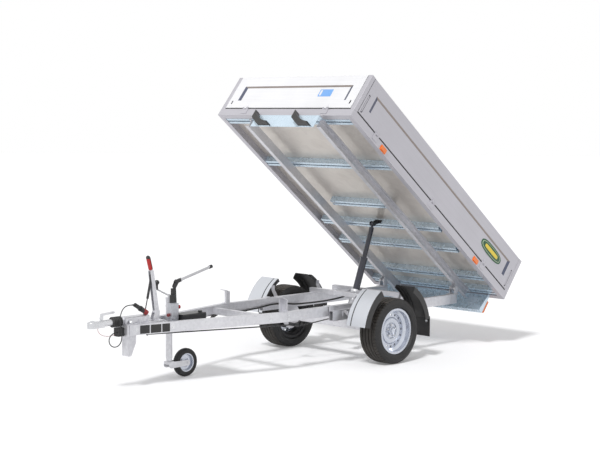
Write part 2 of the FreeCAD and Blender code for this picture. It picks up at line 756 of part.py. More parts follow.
def overrun_housing():
    base = box(-NOSE_X, NOSE_X, HOUSING_FRONT, BASE_REAR, BASE_Z, BASE_Z + BASE_THICK)
    body = box(-HOUSING_HALF, HOUSING_HALF, HOUSING_FRONT, HOUSING_REAR, BASE_Z, HOUSING_TOP)
    body = rounded(body, 12, Y_AXIS)
    apron = box(-NOSE_X + 4, NOSE_X - 4, HOUSING_FRONT, NOSE_Y - SEAT, DRAWBAR_Z - 6, BASE_Z + BASE_THICK)
    collar = rod(V(0, HOUSING_FRONT - COLLAR, COUPLING_Z), V(0, HOUSING_FRONT + 5, COUPLING_Z), SHAFT_R + 6)
    parts = [base, body, apron, collar]
    # ribs down both flanks of the casting
    for y in (HOUSING_FRONT + 40, HOUSING_FRONT + 120, HOUSING_REAR - 24):
        for side in (-1, 1):
            x0 = side * (HOUSING_HALF - 2)
            x1 = side * (NOSE_X - 6)
            parts.append(prism([V(x0, y, BASE_Z + BASE_THICK), V(x1, y, BASE_Z + BASE_THICK),
                                V(x0, y, HOUSING_TOP - 14)], V(0, 6, 0)))
    # lugs that carry the handbrake lever
    for x in (-BRAKE_LUG, BRAKE_LUG - 5):
        parts.append(link(V(x, BRAKE_Y, BASE_Z + 62), V(x, BRAKE_Y - 10, BASE_Z + 22), 20, 26, V(5, 0, 0)))
    return fuse(parts)


BELLOWS_FRONT = HOUSING_FRONT - COLLAR - SEAT - BELLOWS_LENGTH


def coupling_bellows():
    # a convoluted gaiter round the sliding shaft, with the lead's rubber block under it
    step = BELLOWS_LENGTH / BELLOWS_FOLDS
    low = BELLOWS_R - 9
    inner = SHAFT_R + 1
    profile = [(inner, 0), (low, 0)]
    for i in range(BELLOWS_FOLDS):
        for share, radius in ((0.3, BELLOWS_R - 2), (0.5, BELLOWS_R), (0.7, BELLOWS_R - 2), (1.0, low)):
            profile.append((radius, (i + share) * step))
    profile.append((inner, BELLOWS_LENGTH))
    gaiter = ring_of(profile, V(0, BELLOWS_FRONT, COUPLING_Z), axis=Y_AXIS)
    block = box(-30, 30, HOUSING_FRONT - BLOCK_LENGTH, HOUSING_FRONT - SEAT, DRAWBAR_Z - 6, DRAWBAR_Z + 56)
    return Part.makeCompound([gaiter, rounded(block, 8, Y_AXIS)])


COUPLING_TIP = BELLOWS_FRONT - HEAD_LENGTH
BALL_Y = COUPLING_TIP + BALL_BEHIND_TIP
HEAD_Z = COUPLING_Z - 26.0
HEAD_REAR = BELLOWS_FRONT - SHAFT_SHOWN


def coupling_head():
    # pressed head: round nose over the ball, narrowing back to the shaft, with a dome and a flat top
    neck = HEAD_HALF - 8
    shaft = rod(V(0, HEAD_REAR - 20, COUPLING_Z), V(0, HOUSING_FRONT - COLLAR - SEAT, COUPLING_Z), SHAFT_R)
    nose = V(0, COUPLING_TIP, HEAD_Z)
    cheek = V(HEAD_HALF, BALL_Y, HEAD_Z)
    rear = V(neck, HEAD_REAR, HEAD_Z)
    edges = [Part.Arc(V(-cheek.x, cheek.y, cheek.z), nose, cheek), Part.LineSegment(cheek, rear),
             Part.LineSegment(rear, V(-rear.x, rear.y, rear.z)),
             Part.LineSegment(V(-rear.x, rear.y, rear.z), V(-cheek.x, cheek.y, cheek.z))]
    body = Part.Face(Part.Wire([e.toShape() for e in edges])).extrude(V(0, 0, HEAD_HEIGHT - 14))
    top = [e for e in body.Edges if abs(e.CenterOfMass.z - HEAD_Z - HEAD_HEIGHT + 14) < 1]
    body = body.makeFillet(7, top)
    dome = ball(V(0, BALL_Y, HEAD_Z + 20), BALL_R + 9).common(box(-50, 50, BALL_Y - 50, BALL_Y + 50, HEAD_Z + 20,
                                                                 HEAD_Z + HEAD_HEIGHT))
    socket = rod(V(0, BALL_Y, HEAD_Z - 4), V(0, BALL_Y, HEAD_Z + 38), BALL_R)
    return fuse([shaft, body, dome]).cut(socket)


def coupling_handle():
    # a flat lever that rises behind the ball and lies back over the head
    y = BELLOWS_FRONT - 85
    z = COUPLING_Z + SHAFT_R + SEAT
    stalk = link(V(-7, y, z + 12), V(-7, y + 4, z + 36), 12, 9, V(14, 0, 0))
    stalk = stalk.cut(box(-20, 20, y - 30, y + 30, z - 20, z))
    bar = link(V(-8, y + 2, z + 38), V(-8, y + 106, z + 46), 8, 7, V(16, 0, 0))
    return fuse([stalk, bar])


def support_leg():
    x = LEG_WIDTH / 2
    y0 = NOSE_Y + 13
    y1 = y0 + 70
    channel = box(-x, x, y0, y1, LEG_BOTTOM, DRAWBAR_Z - SEAT)
    channel = channel.cut(box(-x + 4, x - 4, y0 + 4, y1 + 1, LEG_BOTTOM - 1, DRAWBAR_Z + 1))
    slope = prism([V(-x - 1, y0 + 26, LEG_BOTTOM - 1), V(-x - 1, y1 + 1, LEG_BOTTOM - 1),
                   V(-x - 1, y1 + 1, DRAWBAR_Z - 60)], V(LEG_WIDTH + 2, 0, 0))
    return channel.cut(slope)


LEVER_FOOT = V(0, BRAKE_Y, BASE_Z + 62)
LEVER_TOP = V(0, BRAKE_Y - 46, BRAKE_TOP)
LEVER_LEAN = unit(LEVER_TOP - LEVER_FOOT)
LEVER_HALF = BRAKE_LUG - 5 - SEAT
LEVER_WALL = 3.0
LEVER_END_R = 15.0


def handbrake_lever():
    # a U channel, open in front, that leans forward and narrows upward, pinned between the housing's lugs
    foot = LEVER_FOOT
    top = LEVER_TOP
    x = V(-LEVER_HALF, 0, 0)
    outer = link(foot + x, top + x, LEVER_END_R + 4, LEVER_END_R, V(2 * LEVER_HALF, 0, 0))
    inner = LEVER_WALL - LEVER_HALF
    groove = prism([V(inner, foot.y - 60, foot.z + 10), V(inner, foot.y + 12, foot.z + 10),
                    V(inner, top.y + 10, top.z + 5), V(inner, top.y - 60, top.z + 5)], V(-2 * inner, 0, 0))
    return outer.cut(groove)


def handbrake_grip():
    base = BRAKE_TOP + LEVER_END_R + SEAT
    start = LEVER_TOP + LEVER_LEAN * 8
    end = start + unit(V(0, -24, 88)) * 100
    below = box(-40, 40, start.y - 60, start.y + 60, BRAKE_TOP - 20, base)
    return fuse([rod(start, end, LEVER_END_R), ball(end, LEVER_END_R)]).cut(below)


def brake_spring():
    # the gas spring: its cylinder is pinned in the lever's channel, its rod stands on the housing
    pin = LEVER_TOP - LEVER_LEAN * 28
    foot = V(0, BRAKE_Y - 106, HOUSING_TOP + SEAT)
    gland = foot + (pin - foot) * 0.4
    half = LEVER_HALF - LEVER_WALL - SEAT
    parts = [rod(pin, gland, 9), rod(gland, foot + V(0, 0, 6), 4), rod(pin - V(half, 0, 0), pin + V(half, 0, 0), 9)]
    parts.append(box(-7, 7, foot.y - 8, foot.y + 8, foot.z, foot.z + 14))
    return fuse(parts)


CABLE_R = 4.5


def brake_cable(side):
    # from the equaliser over the axle beam and round behind the trailing arm
    over = AXLE_Z + AXLE_SIZE / 2 + 17
    plate = BACKPLATE_X - SEAT
    points = [(50, YOKE_Y, YOKE_Z), (50, YOKE_Y + 110, YOKE_Z), (200, AXLE_Y - 60, over), (330, 30, over),
              (440, 68, over - 66), (plate, 68, over - 70)]
    route = [V(side * x, y, z) for x, y, z in points]
    wire, tightest = arced_wire(route)
    circle = Part.Wire(Part.makeCircle(CABLE_R, route[0], route[1] - route[0]))
    return Part.Solid(wire.makePipeShell([circle], True, False))


def brake_rod():
    # an arm under the housing, a rod along the drawbar to the equaliser, and a cable to each back plate
    arm = V(-4, NOSE_Y + 215, BASE_Z - SEAT - 9)
    low = arm + V(0, 0, -86)
    parts = [link(arm, low, 9, 9, V(8, 0, 0)), rod(low + V(4, 0, 0), V(0, YOKE_Y, YOKE_Z), 5)]
    parts.append(box(-58, 58, YOKE_Y - 5, YOKE_Y + 5, YOKE_Z - 14, YOKE_Z + 14))
    return fuse(parts + [brake_cable(-1), brake_cable(1)])


WHEEL = V(TRACK_HALF, 0, TYRE_R)
DRUM_FRONT = DISC_OFFSET - DISC_WALL - SEAT
DRUM_BACK = DRUM_FRONT - DRUM_DEPTH
BACKPLATE_X = TRACK_HALF + DRUM_BACK - BACKPLATE_GAP - 4


def axle():
    half = AXLE_SIZE / 2
    beam = rounded(box(-ARM_X, ARM_X, AXLE_Y - half, AXLE_Y + half, AXLE_Z - half, AXLE_Z + half), 10, X_AXIS)
    parts = [beam]
    for side in (-1, 1):
        x0 = side * ARM_X
        arm = link(V(x0, AXLE_Y, AXLE_Z), V(x0, 0, TYRE_R), 42, 34, V(side * ARM_THICK, 0, 0))
        stub = rod(V(x0, 0, TYRE_R), V(side * (TRACK_HALF + 8), 0, TYRE_R), SPINDLE_R)
        plate_x = side * BACKPLATE_X
        plate = rod(V(plate_x, 0, TYRE_R), V(plate_x + side * 4, 0, TYRE_R), BACKPLATE_R)
        pad = box(side * (DRAWBAR_END_X + 5), side * (DRAWBAR_END_X + 40), AXLE_Y - 50, AXLE_Y + 50,
                  AXLE_Z + half - 4, SIDE_Z - SEAT)
        parts += [arm, stub, plate, pad]
    return fuse(parts)


def mudguard(start, end):
    # a pressed shell: inner lip, a groove a quarter across, a crowned skin and a deep outer side
    w = GUARD_WALL
    x0 = GUARD_X0 - TRACK_HALF
    x1 = GUARD_X1 - TRACK_HALF
    r = GUARD_R
    profile = [(r - 30, x0), (r - 6, x0), (r, x0 + 6), (r, x0 + 42), (r - 5, x0 + 45), (r - 5, x0 + 51), (r, x0 + 54),
               (r, x1 - 12), ((r - 3.5, x1 - 3.5), (r - 12, x1)), (r - 55, x1), (r - 55, x1 - w), (r - 12 - w / 2, x1 - w),
               (r - w, x1 - 12 - w / 2), (r - w, x0 + 53), (r - 5 - w, x0 + 52), (r - 5 - w, x0 + 44), (r - w, x0 + 43),
               (r - w, x0 + 8), (r - 8, x0 + w), (r - 30, x0 + w)]
    shape = ring_of(profile, WHEEL, end - start, V(1, 0, 0))
    shape.rotate(WHEEL, V(-1, 0, 0), end)
    return shape


def mud_flap():
    y = GUARD_R * math.sin(math.radians(GUARD_END)) + SEAT
    z = TYRE_R + GUARD_R * math.cos(math.radians(GUARD_END))
    return box(GUARD_X0 + 4, GUARD_X1 - 4, y, y + FLAP_THICK, z + 14 - FLAP_HEIGHT, z + 14)


STAY_ANGLES = (-66.0, -45.0, 45.0, 66.0)
STAY_WIDTH = 36.0
STAY_THICK = 4.0


def guard_stays():
    # folded strips from the side member's outer face to the mudguards' inner lips
    stays = []
    t = STAY_THICK
    x0 = DRAWBAR_END_X + SEAT + SIDE_WIDTH + SEAT
    x1 = GUARD_X0 - SEAT
    foot = SIDE_Z + SIDE_HEIGHT - 46
    knee = foot + 36
    for angle in STAY_ANGLES:
        lip = GUARD_R - 18
        y = lip * math.sin(math.radians(angle)) - STAY_WIDTH / 2
        z = TYRE_R + lip * math.cos(math.radians(angle))
        outline = [(x0, foot), (x0 + t, foot), (x0 + t, knee), (x1, z - 20), (x1, z + 20), (x1 - t, z + 20),
                   (x1 - t, z - 20 + t), (x0, knee + t)]
        stays.append(prism([V(px, y, pz) for px, pz in outline], V(0, STAY_WIDTH, 0)))
    return Part.makeCompound(stays + [mirror(s) for s in stays])


JOCKEY_X = CLAMP_REACH - drawbar_inner_x(JOCKEY_LEG_Y)
JOCKEY_LEG = V(JOCKEY_X, JOCKEY_LEG_Y, 0)
JOCKEY_WHEEL_Y = JOCKEY_LEG_Y + JOCKEY_TRAIL


def pump_plate():
    # notched round the jockey wheel's clamp
    y1 = PUMP_PLATE_FRONT + PUMP_PLATE_LENGTH
    plate = between_beams(PUMP_PLATE_FRONT, y1, PUMP_PLATE_Z - PUMP_PLATE_THICK, PUMP_PLATE_Z)
    notch = JOCKEY_TUBE_R + 14
    leg = JOCKEY_LEG
    front = leg.y - JOCKEY_TUBE_R - CLAMP_SCREW - 16
    return plate.cut(box(leg.x - 200, leg.x + notch, front, leg.y + notch, PUMP_PLATE_Z - 50, PUMP_PLATE_Z + 50))


def pump_body():
    y = PUMP_Y
    z = PUMP_PLATE_Z + SEAT
    foot = box(-36, 36, y - 34, y + 54, z, z + 12)
    valve = rounded(box(-27, 27, y - 24, y + 44, z + 11, z + 145), 6, Z_AXIS)
    barrel = rod(V(0, y, z + 140), V(0, y, z + 205), 17)
    neck = rod(V(0, y, z + 200), V(0, y, z + 255), 9)
    knob = rod(V(0, y + 40, z + 112), V(0, y + 72, z + 112), 14)
    cap = rod(V(0, y - 20, z + 60), V(0, y - 42, z + 60), 12)
    lug = link(V(-5, y + 30, z + 140), PUMP_PIN - V(5, 0, 0), 12, 11, V(10, 0, 0))
    eye = rod(PUMP_PIN - V(6, 0, 0), PUMP_PIN + V(6, 0, 0), PUMP_PIN_R + RUNNING)
    outlet = rod(V(26, y - 8, z + 36), V(46, y - 8, z + 36), 8)
    return fuse([foot, valve, barrel, neck, knob, cap, lug, outlet]).cut(eye)


PUMP_PIN = V(0, PUMP_Y + 24, PUMP_PLATE_Z + SEAT + 268)
PUMP_PIN_R = 5.0


def pump_lever():
    # a forked head round the pump's lug, with the tube raised towards the bed
    t = 5.0
    gap = 5.5
    parts = []
    for x in (-gap - t, gap):
        parts.append(link(V(x, PUMP_PIN.y, PUMP_PIN.z), V(x, PUMP_Y + 44, PUMP_PIN.z + 34), 13, 15, V(t, 0, 0)))
    pin_half = V(gap + t, 0, 0)
    parts.append(rod(PUMP_PIN - pin_half, PUMP_PIN + pin_half, PUMP_PIN_R))
    socket_start = V(0, PUMP_Y + 30, PUMP_PIN.z + 30)
    reach = unit(V(0, 359, 92))
    parts.append(rod(socket_start, socket_start + reach * 62, 15))
    parts.append(rod(socket_start + reach * 50, socket_start + reach * 350, 10))
    parts.append(rod(socket_start + reach * 345, socket_start + reach * 372, 13))
    return fuse(parts)


def pump_reservoir():
    y0 = PUMP_Y + 58
    z = PUMP_PLATE_Z + SEAT
    tank = box(-TANK_WIDTH / 2, TANK_WIDTH / 2, y0, y0 + TANK_LENGTH, z, z + TANK_HEIGHT)
    tank = rounded(tank, 10, Y_AXIS)
    cap = rod(V(30, y0 + TANK_LENGTH - 36, z + TANK_HEIGHT - 2), V(30, y0 + TANK_LENGTH - 36, z + TANK_HEIGHT + 14), 16)
    return fuse([tank, cap])


def jockey_clamp():
    x = JOCKEY_X
    y = JOCKEY_LEG_Y
    z0 = DRAWBAR_Z + 5
    z1 = DRAWBAR_Z + 70
    near = SEAT - drawbar_inner_x(y - 22)
    far = SEAT - drawbar_inner_x(y + 22)
    block = prism([V(near, y - 22, z0), V(x, y - 22, z0), V(x, y + 22, z0), V(far, y + 22, z0)], V(0, 0, z1 - z0))
    ring = rod(V(x, y, z0), V(x, y, z1), JOCKEY_TUBE_R + 9)
    hole = rod(V(x, y, z0 - 1), V(x, y, z1 + 1), JOCKEY_TUBE_R + CLAMP_CLEAR)
    screw = rod(V(x, y - JOCKEY_TUBE_R - 6, z0 + 32), V(x, y - JOCKEY_TUBE_R - CLAMP_SCREW, z0 + 32), 6)
    bar = V(x, y - JOCKEY_TUBE_R - CLAMP_SCREW + 2, z0 + 32)
    handle = rod(bar - V(0, 0, 30), bar + V(0, 0, 30), 5)
    return fuse([block, ring, screw, handle]).cut(hole)


def jockey_tube():
    bottom = JOCKEY_LEG + V(0, 0, JOCKEY_BOTTOM + 20)
    top = JOCKEY_LEG + V(0, 0, JOCKEY_TOP)
    tube = pipe(bottom, top, JOCKEY_TUBE_R, JOCKEY_TUBE_WALL)
    cap = rod(top - V(0, 0, 4), top + V(0, 0, 10), JOCKEY_TUBE_R + 2)
    collar = rod(top - V(0, 0, 60), top - V(0, 0, 50), JOCKEY_TUBE_R + 2).cut(
        rod(top - V(0, 0, 61), top - V(0, 0, 49), JOCKEY_TUBE_R - 1))
    return fuse([tube, cap, collar])


def jockey_crank():
    hub = JOCKEY_LEG + V(0, 0, JOCKEY_TOP + 10 + SEAT)
    arm_end = hub + V(-14, -104, 66)
    arm = rod(hub + V(0, 0, 14), arm_end, 6)
    boss = rod(hub, hub + V(0, 0, 24), 11)
    grip = rod(arm_end - V(0, 0, 4), arm_end + V(0, 0, 40), 9)
    return fuse([boss, arm, ball(arm_end, 6.5), grip, ball(arm_end + V(0, 0, 52), 19)])


def jockey_fork():
    x = JOCKEY_X
    y = JOCKEY_LEG_Y
    z = JOCKEY_R
    inner_r = JOCKEY_TUBE_R - JOCKEY_TUBE_WALL - 0.1
    outside = JOCKEY_WIDTH / 2 + 4
    crown = rounded(box(x - outside - 6, x + outside + 6, y - 26, y + 26, z + 4, JOCKEY_BOTTOM), 8, Z_AXIS)
    stem = rod(V(x, y, JOCKEY_BOTTOM - 2), V(x, y, JOCKEY_BOTTOM + 150), inner_r)
    parts = [crown, stem]
    for x0 in (x - outside - 6, x + outside):
        parts.append(link(V(x0, y, z), V(x0, JOCKEY_WHEEL_Y, z), 24, 21, V(6, 0, 0)))
    parts.append(rod(V(x - outside - 12, JOCKEY_WHEEL_Y, z), V(x + outside + 12, JOCKEY_WHEEL_Y, z), 8))
    return fuse(parts)


JOCKEY_HUB = V(JOCKEY_X, JOCKEY_WHEEL_Y, JOCKEY_R)


def jockey_tyre():
    h = JOCKEY_WIDTH / 2
    r = JOCKEY_R
    profile = [(70, 4 - h), (84, -h), (96, 1 - h), (r - 3, 7 - h), (r, 15 - h), (r, h - 15), (r - 3, h - 7), (96, h - 1),
               (84, h), (70, h - 4)]
    return ring_of(profile, JOCKEY_HUB)


def jockey_rim():
    bore = 8 + RUNNING
    profile = [(bore, -20), (22, -20), (22, -5), (36, -9), (56, -9), (62, -17), (69.9, -19), (69.9, 19), (62, 17),
               (56, 0), (36, 0), (22, 5), (22, 20), (bore, 20)]
    return ring_of(profile, JOCKEY_HUB)


def tyre():
    h = TYRE_WIDTH / 2
    bead = RIM_HALF - SEAT
    r = TYRE_R
    wall = [(BEAD_R, bead), (LIP_R + 3, bead), (LIP_R + 10, h - 6), (LIP_R + 26, h), (LIP_R + 46, h - 1),
            (r - 14, h - 11), (r - 5, h - 18), (r - 2, h - 28), (r, h - 50)]
    return ring_of([(radius, -offset) for radius, offset in wall] + wall[::-1], WHEEL)


WELL_R = BEAD_R - SEAT - 22.0


def rim():
    # a drop-centre barrel with rolled lips, and a dished disc with a flat ring of round holes
    h = RIM_HALF
    w = RIM_WALL
    r = BEAD_R - SEAT
    barrel = [(r, -h), (LIP_R, -h), (LIP_R, -h - w), (r - w, -h - w), (r - w, 12 - h), (WELL_R, 30 - h), (WELL_R, 20),
              (r - w, 38), (r - w, h + w), (LIP_R - 2, h + w), (LIP_R, h + w - 2), (LIP_R, h), (r, h), (r, 34),
              (WELL_R + w, 18), (WELL_R + w, 31 - h), (r, 11 - h)]
    d = DISC_OFFSET
    t = DISC_WALL
    disc = [(CENTRE_BORE_R, d), (58, d), (63, d + 8), (74, d + 12), (94, d + 12), (102, d + 9), (109, d), (WELL_R, d),
            (WELL_R, d - t), (106, d - t), (99, d + 4), (92, d + 12 - t), (76, d + 12 - t), (68, d + 4), (62, d - t),
            (CENTRE_BORE_R, d - t)]
    shape = ring_of(disc, WHEEL)
    for i in range(RIM_HOLES):
        a = 2 * math.pi * i / RIM_HOLES
        p = WHEEL + V(0, RIM_HOLE_CIRCLE * math.cos(a), RIM_HOLE_CIRCLE * math.sin(a))
        shape = shape.cut(rod(p, p + V(60, 0, 0), RIM_HOLE_R))
    return fuse([ring_of(barrel, WHEEL), shape])


def hub():
    # the brake drum, whose nose comes through the wheel's bore with a grease cap on it
    bore = SPINDLE_R + RUNNING
    front = DRUM_FRONT
    back = DRUM_BACK
    nose = CENTRE_BORE_R - SEAT
    profile = [(bore, back), (DRUM_R, back), (DRUM_R, front - 16), (60, front - 9), (60, front), (nose, front),
               (nose, front + 20), (26, front + 24), (23, front + 33), (15, front + 38), (0, front + 38), (0, 10), (bore, 10)]
    return ring_of(profile, WHEEL)


RAM_DIR = unit(RAM_EYE - RAM_BASE)
RAM_LENGTH = (RAM_EYE - RAM_BASE).Length
COLLAR_LENGTH = 12.0
COLLAR_CLEAR = 1.0          # over the gland when the tube is drawn in
STAGE1_TOP = BARREL_ABOVE + COLLAR_CLEAR + COLLAR_LENGTH + STAGE1_TRAVEL
STAGE1_LENGTH = STAGE1_TRAVEL + 37.0
OVERLAP = 25.0              # of the inner tube in the outer one at full stroke


def on_ram(distance):
    return RAM_BASE + RAM_DIR * distance


def ram_barrel():
    body = rod(on_ram(-BARREL_BELOW), on_ram(BARREL_ABOVE - 16), BARREL_R)
    gland = rod(on_ram(BARREL_ABOVE - 18), on_ram(BARREL_ABOVE), BARREL_R + 4)
    band = rod(on_ram(-26), on_ram(26), BARREL_R + 5)
    bore = rod(on_ram(-BARREL_BELOW + 10), on_ram(BARREL_ABOVE + 1), STAGE1_R + RAM_CLEAR)
    trunnion = rod(RAM_BASE - V(TRUNNION_HALF, 0, 0), RAM_BASE + V(TRUNNION_HALF, 0, 0), TRUNNION_R)
    return fuse([body, gland, band, trunnion]).cut(bore)


def ram_stage_1():
    tube = rod(on_ram(STAGE1_TOP - STAGE1_LENGTH), on_ram(STAGE1_TOP - 6), STAGE1_R)
    collar = rod(on_ram(STAGE1_TOP - COLLAR_LENGTH), on_ram(STAGE1_TOP), STAGE1_R + 4)
    bore = rod(on_ram(STAGE1_TOP - STAGE1_LENGTH + 5), on_ram(STAGE1_TOP + 1), STAGE2_R + RAM_CLEAR)
    return fuse([tube, collar]).cut(bore)


def ram_stage_2():
    shaft = rod(on_ram(STAGE1_TOP - OVERLAP), on_ram(RAM_LENGTH - 34), STAGE2_R)
    tang = rod(on_ram(RAM_LENGTH - 40), on_ram(RAM_LENGTH - 8), EYE_HALF - 1)
    eye = rod(RAM_EYE - V(EYE_HALF, 0, 0), RAM_EYE + V(EYE_HALF, 0, 0), EYE_R)
    hole = rod(RAM_EYE - V(EYE_HALF + 1, 0, 0), RAM_EYE + V(EYE_HALF + 1, 0, 0), 8)
    return fuse([shaft, tang, eye]).cut(hole)


# The lead leaves the rubber block, hangs in a loop and rises past the gaiter to its plug
LEAD_EXIT = V(12, HOUSING_FRONT - BLOCK_LENGTH, 425)
LEAD_ROUTE = [
    LEAD_EXIT, V(12, -2304, LEAD_EXIT.z), V(14, -2339, 412), V(19, -2362, 384), V(27, -2362, 350), V(37, -2338, 327),
    V(48, -2305, 330), V(56, -2283, 357), V(60, -2277, 395), V(61, -2281, 438), V(60, -2288, 482), V(59, -2292, 526),
    V(57, -2284, 567), V(54, -2259, 600), V(51, -2221, 617), V(49, -2181, 615),
]
PLUG_END = V(33, -2030, HOUSING_TOP + 16)


def lead_plug():
    # strain relief, body with a cap ring, and the connector's end
    start = LEAD_ROUTE[-1]
    axis = unit(start - LEAD_ROUTE[-2])
    nose = start + axis * 30
    ahead = unit(PLUG_END - nose)
    relief = Part.makeCone(LEAD_R, 8, 30, start, axis)
    knee = ball(nose, 8)
    body = rod(nose, nose + ahead * 62, 15)
    ring = rod(nose + ahead * 60, nose + ahead * 72, 20)
    end = rod(nose + ahead * 70, PLUG_END, 18)
    return fuse([relief, knee, body, ring, end])


BREAKAWAY_ROUTE = [
    V(-20, -2428, HEAD_Z - SEAT), V(-20, -2430, 455), V(-21, -2421, 434), V(-22, -2399, 416), V(-22, -2370, 404),
    V(-22, -2338, 399), V(-21, -2308, 400), V(-20, HOUSING_FRONT - BLOCK_LENGTH - SEAT, 404),
]


def build():
    bed = {
        "bed_rails": bed_rails(),
        "bed_floor": bed_floor(),
        "bed_cross_members": Part.makeCompound([cross_member(u, half) for u, half in MEMBERS]),
        "bed_main_beams": both(main_beam()),
        "bed_pivot_ears": both(bed_pivot_ears()),
        "corner_posts": corner_posts(),
        "board_hinges": board_hinges(),
        "board_left": side_board("left"),
        "board_right": side_board("right"),
        "board_front": side_board("front"),
        "tailgate": side_board("rear"),
        "lamp_bar": lamp_bar(),
        "tail_lamps": tail_lamps(),
        "side_markers": side_markers(),
        "wheel_chocks": wheel_chocks(),
        "chock_plate": chock_plate(),
        "ram_bracket": ram_bracket(),
    }
    rigid = {
        "drawbar_beams": both(drawbar_beam()),
        "drawbar_crossbar": drawbar_crossbar(),
        "pump_plate": pump_plate(),
        "side_members": both(side_member()),
        "chassis_pivots": both(chassis_pivot_ears()),
        "chassis_cross_members": Part.makeCompound([chassis_cross(y) for y in CROSS_Y]),
        "ram_bearers": ram_bearers(),
        "support_posts": support_posts(),
        "overrun_housing": overrun_housing(),
        "coupling_bellows": coupling_bellows(),
        "coupling_head": coupling_head(),
        "coupling_handle": coupling_handle(),
        "support_leg": support_leg(),
        "handbrake_lever": handbrake_lever(),
        "handbrake_grip": handbrake_grip(),
        "brake_spring": brake_spring(),
        "brake_rod": brake_rod(),
        "axle": axle(),
        "mudguards_front": both(mudguard(-GUARD_END, -GUARD_START)),
        "mudguards_rear": both(mudguard(GUARD_START, GUARD_END)),
        "mud_flaps": both(mud_flap()),
        "guard_stays": guard_stays(),
        "pump_body": pump_body(),
        "pump_lever": pump_lever(),
        "pump_reservoir": pump_reservoir(),
        "jockey_clamp": jockey_clamp(),
        "jockey_tube": jockey_tube(),
        "jockey_crank": jockey_crank(),
        "jockey_fork": jockey_fork(),
        "jockey_tyre": jockey_tyre(),
        "jockey_rim": jockey_rim(),
        "tyre_left": tyre(),
        "rim_left": rim(),
        "hub_left": hub(),
        "tyre_right": mirror(tyre()),
        "rim_right": mirror(rim()),
        "hub_right": mirror(hub()),
        "ram_barrel": ram_barrel(),
        "ram_stage_1": ram_stage_1(),
        "ram_stage_2": ram_stage_2(),
        "lead": tube_along("lead", LEAD_ROUTE, LEAD_R),
        "lead_plug": lead_plug(),
        "breakaway_cable": tube_along("breakaway_cable", BREAKAWAY_ROUTE, BREAKAWAY_R),
    }
    shapes = {name: tipped(shape) for name, shape in bed.items()}
    shapes.update(rigid)
    return shapes


shapes = build()
front = min(s.BoundBox.YMin for s in shapes.values())
rear = max(s.BoundBox.YMax for s in shapes.values())
for name, shape in shapes.items():
    shape.translate(V(0, -(front + rear) / 2, 0))
    shape.exportStep("parts/%s.step" % name)
    print(name, len(shape.Solids), "solids", round(shape.Volume / 1e6, 3), "dm3", shape.isValid())
print("origin shift", (front + rear) / 2)
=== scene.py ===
# %% [markdown]
# A rear-tipping trailer, dressed for a studio picture
# The imported model gives every steel and aluminium piece at its real place, in metres. This script never moves
# one. It gives each piece its finish, and adds what is too small or too soft for the solids: tread blocks,
# bolts, cords, thin black strips of painted shade under the boards, and labels. Each step first says what the
# thing is on the real trailer.

# %% Load the frame
import json
import math

import bmesh
import bpy
from mathutils import Matrix, Vector


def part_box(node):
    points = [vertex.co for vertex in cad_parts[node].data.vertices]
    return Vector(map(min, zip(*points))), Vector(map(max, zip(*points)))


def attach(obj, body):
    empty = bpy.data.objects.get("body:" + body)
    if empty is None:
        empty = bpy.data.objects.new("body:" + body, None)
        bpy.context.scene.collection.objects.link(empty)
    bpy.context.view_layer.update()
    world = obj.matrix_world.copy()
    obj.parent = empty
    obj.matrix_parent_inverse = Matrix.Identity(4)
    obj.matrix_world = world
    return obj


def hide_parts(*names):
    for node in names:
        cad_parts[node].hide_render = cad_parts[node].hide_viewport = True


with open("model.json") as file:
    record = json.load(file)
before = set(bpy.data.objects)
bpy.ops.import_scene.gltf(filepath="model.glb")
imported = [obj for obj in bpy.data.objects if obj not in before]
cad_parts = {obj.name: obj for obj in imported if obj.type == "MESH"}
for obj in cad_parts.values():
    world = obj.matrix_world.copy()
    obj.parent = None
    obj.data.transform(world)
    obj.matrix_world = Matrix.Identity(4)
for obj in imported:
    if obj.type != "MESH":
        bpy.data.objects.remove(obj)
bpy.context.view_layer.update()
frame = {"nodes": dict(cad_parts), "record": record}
nodes = frame["nodes"]
print("pieces from the frame:", len(nodes))

# %% [markdown]
# Camera
# The picture is taken from the front left, a little above the mudguards, with a long lens from eleven
# metres away. A camera in Blender looks along its own -Z, so its matrix is built from three directions:
# right, up and back.

# %% Camera
CAMERA_PLACE = Vector((7.776, -7.841, 1.959))
CAMERA_TURN = math.radians(44.56)
CAMERA_DOWN = math.radians(4.47)
CAMERA_ROLL = 0.0058
LENS_MM = 83.34
SENSOR_MM = 36.0

back = Vector((
    math.sin(CAMERA_TURN) * math.cos(CAMERA_DOWN),
    -math.cos(CAMERA_TURN) * math.cos(CAMERA_DOWN),
    math.sin(CAMERA_DOWN),
))
level_right = Vector((math.cos(CAMERA_TURN), math.sin(CAMERA_TURN), 0))
level_up = back.cross(level_right)
right = math.cos(CAMERA_ROLL) * level_right + math.sin(CAMERA_ROLL) * level_up
up = math.cos(CAMERA_ROLL) * level_up - math.sin(CAMERA_ROLL) * level_right
camera = bpy.data.objects.new("Camera", bpy.data.cameras.new("Camera"))
camera.matrix_world = Matrix.Translation(CAMERA_PLACE) @ Matrix((right, up, back)).transposed().to_4x4()
camera.data.lens = LENS_MM
camera.data.sensor_width = SENSOR_MM
bpy.context.scene.collection.objects.link(camera)
bpy.context.scene.camera = camera
bpy.context.scene.view_settings.view_transform = "Standard"
print("camera's distance from the trailer:", round(CAMERA_PLACE.length, 2))

# %% [markdown]
# Node helpers
# The sky, the floor and every finish are nets of nodes. A few helpers keep such a net readable: one adds a
# node with its settings, one links an output to a socket or writes a number into it, one does a sum, one
# stretches a value from one range to another, and one tells the camera's rays from those that carry light.

# %% Node helpers
def add(tree, kind, **settings):
    node = tree.nodes.new(kind)
    for name, value in settings.items():
        setattr(node, name, value)
    return node


def plug_in(tree, value, socket):
    if isinstance(value, bpy.types.NodeSocket):
        tree.links.new(value, socket)
    else:
        socket.default_value = value


